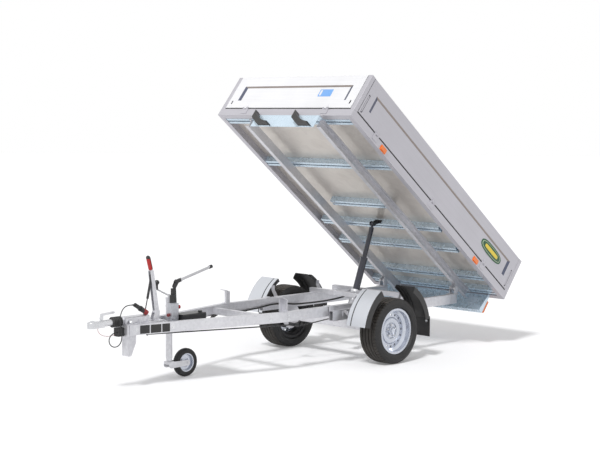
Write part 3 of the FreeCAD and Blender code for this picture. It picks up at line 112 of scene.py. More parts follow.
def math_node(tree, operation, a, b=None):
    node = add(tree, "ShaderNodeMath", operation=operation)
    plug_in(tree, a, node.inputs[0])
    if b is not None:
        plug_in(tree, b, node.inputs[1])
    return node.outputs[0]


def ramp(tree, value, low, high, to_low=0.0, to_high=1.0):
    node = add(tree, "ShaderNodeMapRange")
    tree.links.new(value, node.inputs["Value"])
    for name, number in (("From Min", low), ("From Max", high), ("To Min", to_low), ("To Max", to_high)):
        node.inputs[name].default_value = number
    return node.outputs["Result"]


def seen_directly(tree):
    """1 for camera, glossy and transmission rays, 0 for the rest."""
    rays = add(tree, "ShaderNodeLightPath").outputs
    seen = math_node(tree, "MAXIMUM", rays["Is Camera Ray"], rays["Is Glossy Ray"])
    return math_node(tree, "MAXIMUM", seen, rays["Is Transmission Ray"])


print("nodes are named as in Blender", bpy.app.version_string)

# %% [markdown]
# Background and light
# A packshot stands on a white sweep. Here the world is white for the camera, for reflections and for what
# is seen through glass, while a dimmer white lights the trailer from all round. One broad sun from the front
# gives the shaded sides and the shadow. Together they light a flat surface with about the strength of 1,
# so a colour comes out as it is written.

# %% World and sun
SKY_LIGHT = 0.50
SUN_LIGHT = 2.1
SUN_WIDTH = math.radians(9)
SUN_FROM = Vector((0.30, -0.80, 0.95))

world = bpy.data.worlds.new("White sweep")
bpy.context.scene.world = world
world.use_nodes = True
tree = world.node_tree
sky = tree.nodes["Background"]
sky.inputs["Color"].default_value = (1, 1, 1, 1)
tree.links.new(ramp(tree, seen_directly(tree), 0, 1, SKY_LIGHT, 1.0), sky.inputs["Strength"])

sun = bpy.data.objects.new("Sun", bpy.data.lights.new("Sun", "SUN"))
sun.data.energy = SUN_LIGHT
sun.data.angle = SUN_WIDTH
sun.rotation_euler = SUN_FROM.to_track_quat("Z", "Y").to_euler()
bpy.context.scene.collection.objects.link(sun)
print("sun above the horizon:", round(math.degrees(math.asin(SUN_FROM.normalized().z))), "degrees")

# %% [markdown]
# Floor
# The sweep's floor is a pale disc, so wide that its edge is never seen. A faint glow, which only the camera
# and reflections see, lifts it to the white of the background without washing out the shadow.

# %% Floor
FLOOR_RADIUS = 60.0
FLOOR_SIDES = 96
FLOOR_COLOUR = (0.90, 0.90, 0.91, 1)
FLOOR_ROUGHNESS = 0.9
FLOOR_GLOW = 0.16

floor_mesh = bmesh.new()
bmesh.ops.create_circle(floor_mesh, cap_ends=True, segments=FLOOR_SIDES, radius=FLOOR_RADIUS)
floor_data = bpy.data.meshes.new("Floor")
floor_mesh.to_mesh(floor_data)
floor_mesh.free()
floor = bpy.data.objects.new("Floor", floor_data)
bpy.context.scene.collection.objects.link(floor)

floor_paint = bpy.data.materials.new("Floor white")
floor_paint.use_nodes = True
tree = floor_paint.node_tree
shader = tree.nodes["Principled BSDF"]
shader.inputs["Base Color"].default_value = FLOOR_COLOUR
shader.inputs["Roughness"].default_value = FLOOR_ROUGHNESS
shader.inputs["Emission Color"].default_value = (1, 1, 1, 1)
glow = math_node(tree, "MULTIPLY", seen_directly(tree), FLOOR_GLOW)
tree.links.new(glow, shader.inputs["Emission Strength"])
floor.data.materials.append(floor_paint)
print("floor across:", 2 * FLOOR_RADIUS)

# %% [markdown]
# Shader groups
# Several finishes share an effect. Hot-dip galvanising freezes into a mosaic of grey crystals, extruded
# aluminium has fine lines along its length, and everything outdoors carries a little dust. Each effect is a
# node group that is built once and placed in each material with its own values.

# %% Group helpers
def new_group(name, inputs, outputs):
    group = bpy.data.node_groups.new(name, "ShaderNodeTree")
    for label, kind, value in inputs:
        socket = group.interface.new_socket(label, in_out="INPUT", socket_type=kind)
        socket.default_value = value
    for label, kind in outputs:
        group.interface.new_socket(label, in_out="OUTPUT", socket_type=kind)
    start = group.nodes.new("NodeGroupInput")
    end = group.nodes.new("NodeGroupOutput")
    return group, start.outputs, end.inputs


def use_group(tree, group, values):
    node = add(tree, "ShaderNodeGroup", node_tree=group)
    for label, value in values.items():
        node.inputs[label].default_value = value
    return node


def mix(tree, kind, amount, first, second):
    """Mixes two colours, whose kind is RGBA, or two numbers, whose kind is VALUE."""
    node = add(tree, "ShaderNodeMix", data_type="RGBA" if kind == "RGBA" else "FLOAT")
    ends = [socket for socket in node.inputs if socket.type == kind and socket.name in ("A", "B")]
    for value, socket in zip((amount, first, second), [node.inputs["Factor"]] + ends):
        plug_in(tree, value, socket)
    return [socket for socket in node.outputs if socket.type == kind][0]


def place(tree, scale=(1, 1, 1), turn=(0, 0, 0)):
    """Object coordinates, which are the trailer's own metres, turned and then scaled."""
    here = add(tree, "ShaderNodeTexCoord").outputs["Object"]
    turned = add(tree, "ShaderNodeMapping")
    turned.inputs["Rotation"].default_value = turn
    tree.links.new(here, turned.inputs["Vector"])
    scaled = add(tree, "ShaderNodeMapping")
    scaled.inputs["Scale"].default_value = scale
    tree.links.new(turned.outputs["Vector"], scaled.inputs["Vector"])
    return scaled.outputs["Vector"]


def noise(tree, vector, scale, detail=3.0, roughness=0.5):
    node = add(tree, "ShaderNodeTexNoise")
    for name, number in (("Scale", scale), ("Detail", detail), ("Roughness", roughness)):
        node.inputs[name].default_value = number
    tree.links.new(vector, node.inputs["Vector"])
    return node.outputs["Fac"]


SURFACE = [("Colour", "NodeSocketColor"), ("Roughness", "NodeSocketFloat"), ("Height", "NodeSocketFloat")]
MASK = [("Mask", "NodeSocketFloat")]
print("what a surface group gives:", [label for label, kind in SURFACE])

# %% [markdown]
# Zinc crystals
# Seen close, hot-dip galvanising is patches of a centimetre or so, each a flat tone of its own because its
# crystal mirrors another part of the sky. A Voronoi texture gives the patches and their random tones. A slow
# noise over it gives soft clouds where the bath ran off.

# %% Group: zinc crystals
SWIRL_SCALE = 45.0
SWIRL_REACH = 0.012

zinc, got, give = new_group("Zinc crystals", [
    ("Crystals per metre", "NodeSocketFloat", 70.0),
    ("Dark", "NodeSocketColor", (0.4, 0.42, 0.45, 1)),
    ("Light", "NodeSocketColor", (0.7, 0.72, 0.76, 1)),
    ("Roughness", "NodeSocketFloat", 0.4),
], SURFACE)
spot = place(zinc)
swirl = add(zinc, "ShaderNodeTexNoise")
swirl.inputs["Scale"].default_value = SWIRL_SCALE
zinc.links.new(spot, swirl.inputs["Vector"])
warp = add(zinc, "ShaderNodeVectorMath", operation="MULTIPLY_ADD")
for value, socket in zip((swirl.outputs["Color"], (SWIRL_REACH,) * 3, spot), warp.inputs):
    plug_in(zinc, value, socket)
cells = add(zinc, "ShaderNodeTexVoronoi")
zinc.links.new(warp.outputs["Vector"], cells.inputs["Vector"])
zinc.links.new(got["Crystals per metre"], cells.inputs["Scale"])
tone = add(zinc, "ShaderNodeSeparateColor")
zinc.links.new(cells.outputs["Color"], tone.inputs["Color"])
clouds = noise(zinc, spot, 2.5, 1.0, 0.4)
patches = math_node(zinc, "MULTIPLY", tone.outputs["Red"], 0.35)
mixed = math_node(zinc, "ADD", patches, ramp(zinc, clouds, 0.3, 0.7, 0.05, 0.60))
zinc.links.new(mix(zinc, "RGBA", mixed, got["Dark"], got["Light"]), give["Colour"])
gleam = ramp(zinc, tone.outputs["Green"], 0, 1, -0.03, 0.05)
zinc.links.new(math_node(zinc, "ADD", got["Roughness"], gleam), give["Roughness"])
facets = math_node(zinc, "MULTIPLY", tone.outputs["Blue"], 0.3)
zinc.links.new(math_node(zinc, "ADD", facets, clouds), give["Height"])
print("nodes in", zinc.name + ":", len(zinc.nodes))

# %% [markdown]
# Extrusion lines
# Drop sides and rails are aluminium pressed through a die, which leaves faint lines along their length. The
# anodised skin on top is satin. Noise that is stretched a few hundredfold along one direction gives the
# lines, and the direction is the bed's own slope, so the lines run with the boards.

# %% Group: extrusion lines
BED_TILT = math.radians(38.5)
LINES_ACROSS = (2.0, 1.0, 400.0)

lines, got, give = new_group("Extrusion lines", [
    ("Colour", "NodeSocketColor", (0.7, 0.7, 0.72, 1)),
    ("Contrast", "NodeSocketFloat", 0.06),
    ("Roughness", "NodeSocketFloat", 0.35),
], SURFACE)
streak = noise(lines, place(lines, LINES_ACROSS, (BED_TILT, 0, 0)), 1.0, 2.0)
smudge = noise(lines, place(lines), 2.2, 4.0, 0.6)
streaks = math_node(lines, "MULTIPLY", ramp(lines, streak, 0.2, 0.8, -1, 1), got["Contrast"])
shade = math_node(lines, "ADD", streaks, ramp(lines, smudge, 0.3, 0.7, 0.95, 1.03))
lit = add(lines, "ShaderNodeVectorMath", operation="SCALE")
lines.links.new(got["Colour"], lit.inputs[0])
lines.links.new(shade, lit.inputs["Scale"])
lines.links.new(lit.outputs["Vector"], give["Colour"])
gleam = ramp(lines, smudge, 0.2, 0.8, -0.06, 0.08)
lines.links.new(math_node(lines, "ADD", got["Roughness"], gleam), give["Roughness"])
lines.links.new(streak, give["Height"])
print("nodes in", lines.name + ":", len(lines.nodes))

# %% [markdown]
# Moulded grain and dust
# Rubber and black plastic leave the mould with a fine leathery grain, and soon turn grey with dust where it
# can settle. The grain is small-scale noise in the bump. The dust is a mask that grows on faces that look up
# and breaks into clouds, and it both lightens the colour and roughens it.

# %% Group: grain and dust
dusty, got, give = new_group("Grain and dust", [
    ("Colour", "NodeSocketColor", (0.03, 0.03, 0.03, 1)),
    ("Dust colour", "NodeSocketColor", (0.30, 0.27, 0.23, 1)),
    ("Dust", "NodeSocketFloat", 0.15),
    ("Grains per metre", "NodeSocketFloat", 900.0),
    ("Roughness", "NodeSocketFloat", 0.55),
], SURFACE)
spot = place(dusty)
clouds = noise(dusty, spot, 14.0, 5.0, 0.65)
facing = add(dusty, "ShaderNodeSeparateXYZ")
dusty.links.new(add(dusty, "ShaderNodeNewGeometry").outputs["Normal"], facing.inputs["Vector"])
settled = ramp(dusty, facing.outputs["Z"], -0.2, 1.0, 0.35, 1.0)
broken = math_node(dusty, "MULTIPLY", settled, ramp(dusty, clouds, 0.35, 0.7))
amount = math_node(dusty, "MULTIPLY", broken, got["Dust"])
dusty.links.new(mix(dusty, "RGBA", amount, got["Colour"], got["Dust colour"]), give["Colour"])
duller = math_node(dusty, "MULTIPLY", amount, 0.5)
dusty.links.new(math_node(dusty, "ADD", got["Roughness"], duller), give["Roughness"])
grain = add(dusty, "ShaderNodeTexNoise")
dusty.links.new(spot, grain.inputs["Vector"])
dusty.links.new(got["Grains per metre"], grain.inputs["Scale"])
dusty.links.new(grain.outputs["Fac"], give["Height"])
print("nodes in", dusty.name + ":", len(dusty.nodes))

# %% [markdown]
# Finishes
# Each finish is one Principled shader with one group feeding its colour, roughness and bump. Numbers that are
# the same all over, such as how metallic it is, sit on the shader's own sockets.

# %% Finishes
BUMP_DEPTH = 0.0005
ZINC_BUMP, LINES_BUMP, GRAIN_BUMP = 0.08, 0.08, 0.2


def finish(name, group, values, metallic, bump, **sockets):
    material = bpy.data.materials.new(name)
    material.use_nodes = True
    tree = material.node_tree
    shader = tree.nodes["Principled BSDF"]
    effect = use_group(tree, group, values)
    relief = add(tree, "ShaderNodeBump")
    relief.inputs["Strength"].default_value = bump
    relief.inputs["Distance"].default_value = BUMP_DEPTH
    tree.links.new(effect.outputs["Height"], relief.inputs["Height"])
    tree.links.new(relief.outputs["Normal"], shader.inputs["Normal"])
    tree.links.new(effect.outputs["Colour"], shader.inputs["Base Color"])
    tree.links.new(effect.outputs["Roughness"], shader.inputs["Roughness"])
    shader.inputs["Metallic"].default_value = metallic
    for label, value in sockets.items():
        shader.inputs[label.replace("_", " ")].default_value = value
    return material


def zinc_finish(name, dark, light, roughness, metallic, crystals):
    values = {"Dark": dark + (1,), "Light": light + (1,), "Roughness": roughness,
              "Crystals per metre": crystals}
    return finish(name, zinc, values, metallic, ZINC_BUMP)


def drawn_finish(name, colour, roughness, metallic):
    return finish(name, lines, {"Colour": colour + (1,), "Roughness": roughness}, metallic, LINES_BUMP)


def plastic_finish(name, colour, roughness, dust, grains=900.0, **sockets):
    values = {"Colour": colour + (1,), "Roughness": roughness, "Dust": dust, "Grains per metre": grains}
    return finish(name, dusty, values, 0.0, GRAIN_BUMP, **sockets)


galvanised = zinc_finish("Galvanised steel", (0.53, 0.53, 0.56), (0.73, 0.73, 0.76), 0.36, 0.65, 55.0)
# The cross members, lamp bar and chock plate: galvanised sheet tinted blue, a painted reflection of the sky.
painted_sky_sheet = zinc_finish("Galvanised sheet, painted sky reflection", (0.54, 0.66, 0.76), (0.66, 0.78, 0.88),
                           0.26, 0.45, 30.0)
# The floor sheet's warm beige is a painted reflection of the brown ground below it.
floor_sheet = zinc_finish("Galvanised floor sheet", (0.55, 0.51, 0.47), (0.69, 0.65, 0.60), 0.32, 0.50, 18.0)
plated = zinc_finish("Zinc-plated fittings", (0.55, 0.56, 0.58), (0.80, 0.80, 0.82), 0.30, 0.85, 220.0)
aluminium = drawn_finish("Anodised aluminium", (0.52, 0.51, 0.55), 0.34, 0.45)
# The front board's aluminium is a lighter copy of the drop sides': painted sunlight, because it faces the sun.
painted_sunlit_front_aluminium = drawn_finish("Front board aluminium in painted sunlight", (0.84, 0.84, 0.86), 0.40, 0.25)
wheel_silver = plastic_finish("Silver wheel paint", (0.58, 0.61, 0.68), 0.22, 0.10, 500.0, Metallic=0.75)
ram_paint = plastic_finish("Black cylinder paint", (0.012, 0.014, 0.030), 0.22, 0.05, 300.0, Coat_Weight=0.4)
black_paint = plastic_finish("Black paint", (0.015, 0.015, 0.018), 0.35, 0.08, 300.0)
guard_plastic = plastic_finish("Mudguard plastic", (0.022, 0.022, 0.023), 0.42, 0.10)
tyre_rubber = plastic_finish("Tyre rubber", (0.012, 0.012, 0.013), 0.62, 0.07, 700.0)
soft_rubber = plastic_finish("Soft rubber", (0.016, 0.016, 0.017), 0.55, 0.08, 800.0)
lens_red = plastic_finish("Red lens", (0.50, 0.015, 0.012), 0.12, 0.02, 90.0, Coat_Weight=0.6)
lens_amber = plastic_finish("Amber lens", (0.90, 0.20, 0.02), 0.12, 0.02, 90.0, Coat_Weight=0.6)
print("finishes so far:", len(bpy.data.materials))

# %% [markdown]
# Which piece gets which finish
# The frame names a material slot for each piece, and most pieces take that slot's finish. A few differ within
# their slot: the cross members, lamp bar and chock plate are bluer, a painted reflection of the sky, small
# fittings are plated instead of dipped, and the front board is a lighter copy of the aluminium, painted
# sunlight, because it faces the light.

# %% Give the frame's pieces their finishes
FINISHES = {
    "galv": galvanised, "aluminium": aluminium, "floor": floor_sheet, "black_steel": black_paint,
    "black_plastic": guard_plastic, "rubber": soft_rubber, "lamp_red": lens_red, "lamp_orange": lens_amber,
    "tyre": tyre_rubber, "wheel_steel": wheel_silver,
}
OWN_FINISH = {
    "bed_cross_members": painted_sky_sheet, "lamp_bar": painted_sky_sheet, "chock_plate": painted_sky_sheet,
    "board_front": painted_sunlit_front_aluminium, "coupling_head": plated, "coupling_handle": plated,
    "jockey_clamp": plated, "ram_barrel": plated, "ram_stage_1": ram_paint, "ram_stage_2": ram_paint,
}


def paint(name, material):
    nodes[name].data.materials.clear()
    nodes[name].data.materials.append(material)


for row in frame["record"]["subparts"]:
    paint(row["node"], OWN_FINISH.get(row["node"], FINISHES[row["material_slot"]]))
print("pieces with a finish of their own:", len(OWN_FINISH))

# %% [markdown]
# Places on the trailer
# The trailer was drawn in millimetres with Y = 0 above the wheel centres. A wheel's box in the frame gives
# that place here, so one small function turns a drawing place into metres in this scene.

# %% Places
MM = 0.001
wheel_low, wheel_high = (Vector(corner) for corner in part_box("tyre_left"))
WHEEL = (wheel_low + wheel_high) / 2


def drawn(x, y, z):
    return Vector((x * MM, y * MM + WHEEL.y, z * MM))


print("wheel centre", tuple(round(value, 4) for value in WHEEL))

# %% [markdown]
# Cords
# The seven-core lead leaves the rubber block under the gaiter, hangs in a loop and climbs over the housing
# into its parked plug. The red breakaway cable makes a small loop from the ball head back to the same block.
# The pump's pressure hose is clipped along the right drawbar beam and ends in the cylinder's trunnion, and
# wears a sleeve where it passes the crossbar. A cord is stiff enough to have no corners, so each is one NURBS
# curve through a few control points, with a round bevel.

# %% Cords
LEAD_ROUTE = [
    (12, -2280, 425), (12, -2304, 425), (14, -2339, 412), (19, -2362, 384), (27, -2362, 350),
    (37, -2338, 327), (48, -2305, 330), (56, -2283, 357), (60, -2277, 395), (61, -2281, 438),
    (60, -2288, 482), (59, -2292, 526), (57, -2284, 567), (54, -2259, 600), (51, -2221, 617),
    (49, -2181, 615),
]
BREAKAWAY_ROUTE = [
    (-20, -2428, 473.7), (-20, -2430, 455), (-21, -2421, 434), (-22, -2399, 416), (-22, -2370, 404),
    (-22, -2338, 399), (-21, -2308, 400), (-20, -2280.3, 404),
]
HOSE_ROUTE = [
    (-40, -1690, 431), (-60, -1600, 405), (-120, -1400, 385), (-200, -1230, 382), (-268, -1130, 392),
    (-290, -1060, 408), (-298, -960, 409), (-304, -770, 397), (-305, -680, 405), (-305, -590, 408),
    (-306, -480, 421), (-306, -380, 424), (-304, -290, 417), (-298, -180, 402), (-265, -60, 404),
    (-200, 60, 415), (-120, 180, 440), (-62, 225, 468),
]
SLEEVE_ROUTE = HOSE_ROUTE[4:6]  # where the hose passes the crossbar
cable_red = plastic_finish("Red cable sleeve", (0.38, 0.02, 0.02), 0.45, 0.05)


def cord(name, route, radius, material):
    data = bpy.data.curves.new(name, "CURVE")
    data.dimensions = "3D"
    data.bevel_depth = radius
    data.bevel_resolution = 5
    data.resolution_u = 10
    data.use_fill_caps = True
    spline = data.splines.new("NURBS")
    spline.points.add(len(route) - 1)
    for knot, point in zip(spline.points, route):
        knot.co = (*drawn(*point), 1)
    spline.order_u = min(3, len(route))
    spline.use_endpoint_u = True
    data.materials.append(material)
    piece = bpy.data.objects.new(name, data)
    bpy.context.scene.collection.objects.link(piece)
    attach(piece, "chassis")
    return piece


cord("pressure_hose", HOSE_ROUTE, 0.007, soft_rubber)
cord("hose_sleeve", SLEEVE_ROUTE, 0.013, soft_rubber)
lead = cord("lead_cord", LEAD_ROUTE, 0.0035, soft_rubber)
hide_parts("lead")
breakaway = cord("breakaway_cord", BREAKAWAY_ROUTE, 0.0015, cable_red)
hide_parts("breakaway_cable")
print("points on the hose, the lead and the cable:", len(HOSE_ROUTE), len(LEAD_ROUTE), len(BREAKAWAY_ROUTE))

# %% [markdown]
# Masks
# Some pieces are one casting with a coloured knob or grip on it. Where the colour changes inside one piece, a
# mask asks whether a point of the surface lies in a box. The front mudguards are black plastic with a painted
# sun glare, light grey, on their outer skin only, so their mask is what lies outside a drum about the wheel's
# axle.

# %% Group: inside a box
inside_box, got, give = new_group("Inside a box", [
    ("Low", "NodeSocketVector", (0, 0, 0)), ("High", "NodeSocketVector", (1, 1, 1)),
], MASK)
corners = []
for value in (place(inside_box), got["Low"], got["High"]):
    corners.append(add(inside_box, "ShaderNodeSeparateXYZ"))
    inside_box.links.new(value, corners[-1].inputs[0])
here, low_corner, high_corner = (corner.outputs for corner in corners)
mask = None
for axis in "XYZ":
    above = math_node(inside_box, "GREATER_THAN", here[axis], low_corner[axis])
    below = math_node(inside_box, "LESS_THAN", here[axis], high_corner[axis])
    both = math_node(inside_box, "MULTIPLY", above, below)
    mask = both if mask is None else math_node(inside_box, "MULTIPLY", mask, both)
inside_box.links.new(mask, give["Mask"])
print("nodes in", inside_box.name + ":", len(inside_box.nodes))

# %% [markdown]
# The drum's mask
# How far a point is from the axle is the root of two squares. The painted sun glare also stops at two
# distances from the trailer's middle, which leaves a thin band of bare black plastic between its two halves.

# %% Group: outside a drum
outer_skin, got, give = new_group("Outside a drum", [
    ("Axle Y", "NodeSocketFloat", 0.0), ("Axle Z", "NodeSocketFloat", 0.0),
    ("Radius", "NodeSocketFloat", 1.0), ("Inner", "NodeSocketFloat", 0.0), ("Outer", "NodeSocketFloat", 1.0),
], MASK)
here = add(outer_skin, "ShaderNodeSeparateXYZ")
outer_skin.links.new(place(outer_skin), here.inputs[0])
along = math_node(outer_skin, "SUBTRACT", here.outputs["Y"], got["Axle Y"])
rise = math_node(outer_skin, "SUBTRACT", here.outputs["Z"], got["Axle Z"])
squares = [math_node(outer_skin, "MULTIPLY", value, value) for value in (along, rise)]
reach = math_node(outer_skin, "SQRT", math_node(outer_skin, "ADD", *squares))
aside = math_node(outer_skin, "ABSOLUTE", here.outputs["X"])
outside = math_node(outer_skin, "GREATER_THAN", reach, got["Radius"])
past_inner = math_node(outer_skin, "GREATER_THAN", aside, got["Inner"])
short_of_outer = math_node(outer_skin, "LESS_THAN", aside, got["Outer"])
band = math_node(outer_skin, "MULTIPLY", past_inner, short_of_outer)
outer_skin.links.new(math_node(outer_skin, "MULTIPLY", outside, band), give["Mask"])
print("nodes in", outer_skin.name + ":", len(outer_skin.nodes))

# %% [markdown]
# Painted zones
# These are the pump's knobs, the grips on its lever and on the jockey crank, the dark end of the brake grip,
# the red end of the plug and the lamps' amber parts, and two zones of painted light: painted shade, black, on
# the insides of the rims, and a painted sun glare, light grey, on the outer skins of the black front
# mudguards. The solids could be cut there, but each is one piece, so its finish changes instead: the plastic
# group is mixed over the colour, roughness and metal wherever the mask is 1. The table gives each zone as
# two opposite corners of a box, in the drawing's millimetres.

# %% Painted zones
RED = (0.42, 0.015, 0.015)
DARK_RED = (0.16, 0.012, 0.014)
PLUG_RED = (0.30, 0.015, 0.015)
AMBER = (0.85, 0.20, 0.02)
BLACK = (0.016, 0.016, 0.018)
# Light grey that stands for a painted sun glare on the black front mudguards.
PAINTED_GLARE_GREY = (0.60, 0.62, 0.66)
FAR = 5.0


def mix_over(material, mask_group, where, colour, roughness, dust=0.06, metallic=0.0):
    """Covers part of a finish with a plain paint or plastic, or with painted shade or glare."""
    tree = material.node_tree
    shader = tree.nodes["Principled BSDF"]
    mask = use_group(tree, mask_group, where).outputs["Mask"]
    cover = use_group(tree, dusty, {"Colour": colour + (1,), "Roughness": roughness, "Dust": dust}).outputs
    covers = (("Base Color", "RGBA", cover["Colour"]), ("Roughness", "VALUE", cover["Roughness"]),
              ("Metallic", "VALUE", metallic))
    for label, kind, after in covers:
        socket = shader.inputs[label]
        before = socket.links[0].from_socket if socket.is_linked else socket.default_value
        tree.links.new(mix(tree, kind, mask, before, after), socket)


def zone_box(first, second):
    pairs = list(zip(first, second))
    return {"Low": [min(pair) for pair in pairs], "High": [max(pair) for pair in pairs]}


def slab(side, inner, outer):
    """All that lies between two distances from the trailer's middle, on one side."""
    return zone_box((side * inner, -FAR, -FAR), (side * outer, FAR, FAR))


pump_finish = zinc_finish("Pump casting", (0.36, 0.37, 0.40), (0.60, 0.61, 0.64), 0.34, 0.8, 240.0)
lever_finish = zinc_finish("Pump lever", (0.42, 0.42, 0.44), (0.66, 0.66, 0.68), 0.22, 0.9, 260.0)
crank_finish = zinc_finish("Jockey crank", (0.55, 0.56, 0.58), (0.80, 0.80, 0.82), 0.30, 0.85, 220.0)
grip_finish = plastic_finish("Brake grip", RED, 0.40, 0.04, 800.0)
guard_finish = plastic_finish("Front mudguard skin", BLACK, 0.42, 0.10)
plug_finish = plastic_finish("Plug", BLACK, 0.45, 0.06)

ZONES = [  # finish, one corner, the other, colour, roughness
    (pump_finish, (-16, -1727, 537), (16, -1690, 568), RED, 0.35),
    (pump_finish, (-14, -1810, 486), (14, -1790.5, 514), DARK_RED, 0.4),
    (pump_finish, (-40, -1800, 588), (40, -1680, 800), BLACK, 0.4),
    (lever_finish, (-40, -1800, 640), (40, -1688, 800), BLACK, 0.4),
    (lever_finish, (-40, -1402, 790), (40, -1300, 900), BLACK, 0.5),
    (crank_finish, (-200, -1900, 678), (0, -1780, 780), BLACK, 0.35),
    (grip_finish, (-20, -2100, 928), (20, -1900, 970), BLACK, 0.45),
    (plug_finish, (0, -2066, 500), (80, -2000, 620), PLUG_RED, 0.4),
]
for material, first, second, colour, roughness in ZONES:
    mix_over(material, inside_box, zone_box(drawn(*first), drawn(*second)), colour, roughness)

LAMP_AMBER = (0.52, 0.61)
# RIM_SHADE is painted shade: the rims' inner parts, between these distances from the middle, are painted black
# where they lie in shade.
RIM_SHADE = (0.40, 0.588)
for side in (1, -1):
    mix_over(lens_red, inside_box, slab(side, *LAMP_AMBER), AMBER, 0.12)
    mix_over(wheel_silver, inside_box, slab(side, *RIM_SHADE), BLACK, 0.6)

# The front mudguards get a painted sun glare: light grey over the black plastic of their outer skin, outside
# the drum about the axle and between two distances from the middle.
SKIN_RADIUS = 0.3962
for inner, outer in ((0.4725, 0.515), (0.525, 0.672)):
    where = {"Axle Y": WHEEL.y, "Axle Z": WHEEL.z, "Radius": SKIN_RADIUS, "Inner": inner, "Outer": outer}
    mix_over(guard_finish, outer_skin, where, PAINTED_GLARE_GREY, 0.38, 0.05, 0.35)

for name, material in (
        ("pump_body", pump_finish), ("pump_lever", lever_finish), ("jockey_crank", crank_finish),
        ("handbrake_grip", grip_finish), ("mudguards_front", guard_finish), ("lead_plug", plug_finish)):
    paint(name, material)
print("painted zones:", len(ZONES))

# %% [markdown]
# Road tyres
# A tyre is one section turned about the axle, but its tread isn't: grooves run round it and short slots cut
# the ribs into blocks. The section below is the solid's own, with four grooves added. It is turned in small
# steps, and in some of them the ribs are lower, which makes the slots. The slots lean, because each step's
# angle shifts with its place across the tread. The worn tread is brown with road dust.

# %% Tyre section
TYRE_RADIUS = (wheel_high.z - wheel_low.z) / 2
TYRE_HALF = (wheel_high.x - wheel_low.x) / 2
BEAD_HALF = 0.0752
BEAD_RADIUS = 0.168
GROOVE_CENTRES = (0.047, 0.016)
GROOVE_HALF = 0.0045
GROOVE_FLOOR_HALF = GROOVE_HALF * 0.6
GROOVE_DEPTH = 0.007
SLOT_DEPTH = 0.0055
SHALLOW_SLOT = SLOT_DEPTH * 0.45


def tyre_section():
    """(offset, radius, slot depth) from the inner bead round the tread to the other bead."""
    r, h = TYRE_RADIUS, TYRE_HALF
    wall = [
        (BEAD_HALF, BEAD_RADIUS), (BEAD_HALF, 0.187), (h - 0.006, 0.194), (h - 0.0035, 0.199),
        (h - 0.0035, 0.203), (h, 0.210), (h, 0.2125), (h - 0.0012, 0.214), (h - 0.0012, 0.226),
        (h, 0.2275), (h - 0.001, 0.230), (h - 0.006, 0.240), (h - 0.011, r - 0.014),
    ]
    shoulder = [
        (h - 0.0135, r - 0.010), (h - 0.018, r - 0.005), (h - 0.028, r - 0.002), (h - 0.038, r - 0.0008),
    ]
    rows = [(offset, radius, 0.0) for offset, radius in wall]
    rows += [(offset, radius, SLOT_DEPTH) for offset, radius in shoulder]
    slot_depths = ((SLOT_DEPTH, SHALLOW_SLOT), (SHALLOW_SLOT, 0.0))
    for centre, (outer_slot, inner_slot) in zip(GROOVE_CENTRES, slot_depths):
        rows += [
            (centre + GROOVE_HALF, r, outer_slot), (centre + GROOVE_FLOOR_HALF, r - GROOVE_DEPTH, 0.0),
            (centre - GROOVE_FLOOR_HALF, r - GROOVE_DEPTH, 0.0), (centre - GROOVE_HALF, r, inner_slot),
        ]
    return rows + [(-offset, radius, depth) for offset, radius, depth in rows[::-1]]


print("points round a tyre's section:", len(tyre_section()))

# %% [markdown]
# From points to a piece
# A small part is first built as a bmesh, Blender's editable mesh, because points and faces are easily added
# to it. One helper spans faces between rings of points. Another turns the finished bmesh into an object that
# is smooth up to a given angle, and says which body it rides on.

# %% Piece helpers
def skin(work, rings, closed):
    """Quads between rings of points, round each ring or along it."""
    for first, second in zip(rings, rings[1:]):
        count = len(first)
        for k in range(count if closed else count - 1):
            n = (k + 1) % count
            work.faces.new((first[k], first[n], second[n], second[k]))


def keep(name, work, body, slot, *materials, sharp=30):
    """Turns a finished bmesh into a piece that rides on a body."""
    bmesh.ops.recalc_face_normals(work, faces=work.faces)
    data = bpy.data.meshes.new(name)
    work.to_mesh(data)
    work.free()
    for material in materials:
        data.materials.append(material)
    for polygon in data.polygons:
        polygon.use_smooth = True
    data.set_sharp_from_angle(angle=math.radians(sharp))
    piece = bpy.data.objects.new(name, data)
    bpy.context.scene.collection.objects.link(piece)
    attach(piece, body)
    return piece


print("meshes before the small parts:", len(bpy.data.meshes))

# %% [markdown]
# Turning the section
# Sixty pitches go round the tyre, and each has four steps: two at full height, then two that are lower, which
# are the slot. Faces above the shoulder take the tread's dusty rubber and the rest take the wall's.

# %% Turn the tyres
PITCHES = 60
SLOT_STEPS = ((0.0, False), (0.78, False), (0.81, True), (0.97, True))  # share of a pitch, lowered
SLOT_LEAN = 0.9
LEAN_FROM_RADIUS = 0.245
TREAD_FROM_RADIUS = 0.2525
tread_rubber = plastic_finish("Dusty tread", (0.024, 0.021, 0.019), 0.75, 0.25, 600.0)


def tyre(side, sign):
    section = tyre_section()
    work = bmesh.new()
    columns = []
    for pitch in range(PITCHES):
        for share, lowered in SLOT_STEPS:
            ring = []
            for offset, radius, depth in section:
                lean = SLOT_LEAN * offset * (radius > LEAN_FROM_RADIUS)
                angle = 2 * math.pi * (pitch + share) / PITCHES + lean
                reach = radius - depth * lowered
                ring.append(work.verts.new((sign * WHEEL.x + offset, WHEEL.y + reach * math.sin(angle),
                                            WHEEL.z + reach * math.cos(angle))))
            columns.append(ring)
    skin(work, columns + columns[:1], closed=True)
    for index, face in enumerate(work.faces):
        k = index % len(section)
        lower_radius = min(section[k][1], section[(k + 1) % len(section)][1])
        face.material_index = int(lower_radius > TREAD_FROM_RADIUS)
    piece = keep("road_tyre_" + side, work, side + "_wheel", "tyre", tyre_rubber, tread_rubber, sharp=28)
    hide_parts("tyre_" + side)
    return len(piece.data.polygons)


print("tyre faces:", tyre("left", 1), tyre("right", -1))

# %% [markdown]
# Bolts
# The trailer is bolted together from plates, so bolt heads show all over it. Each is a washer, a hexagon and
# a low chamfered crown. To seat one, a ray is sent at the piece that it holds, and the head is built where
# the ray lands, square to that surface. Each row of the table makes a pair, left and right, and all are
# joined into one mesh.

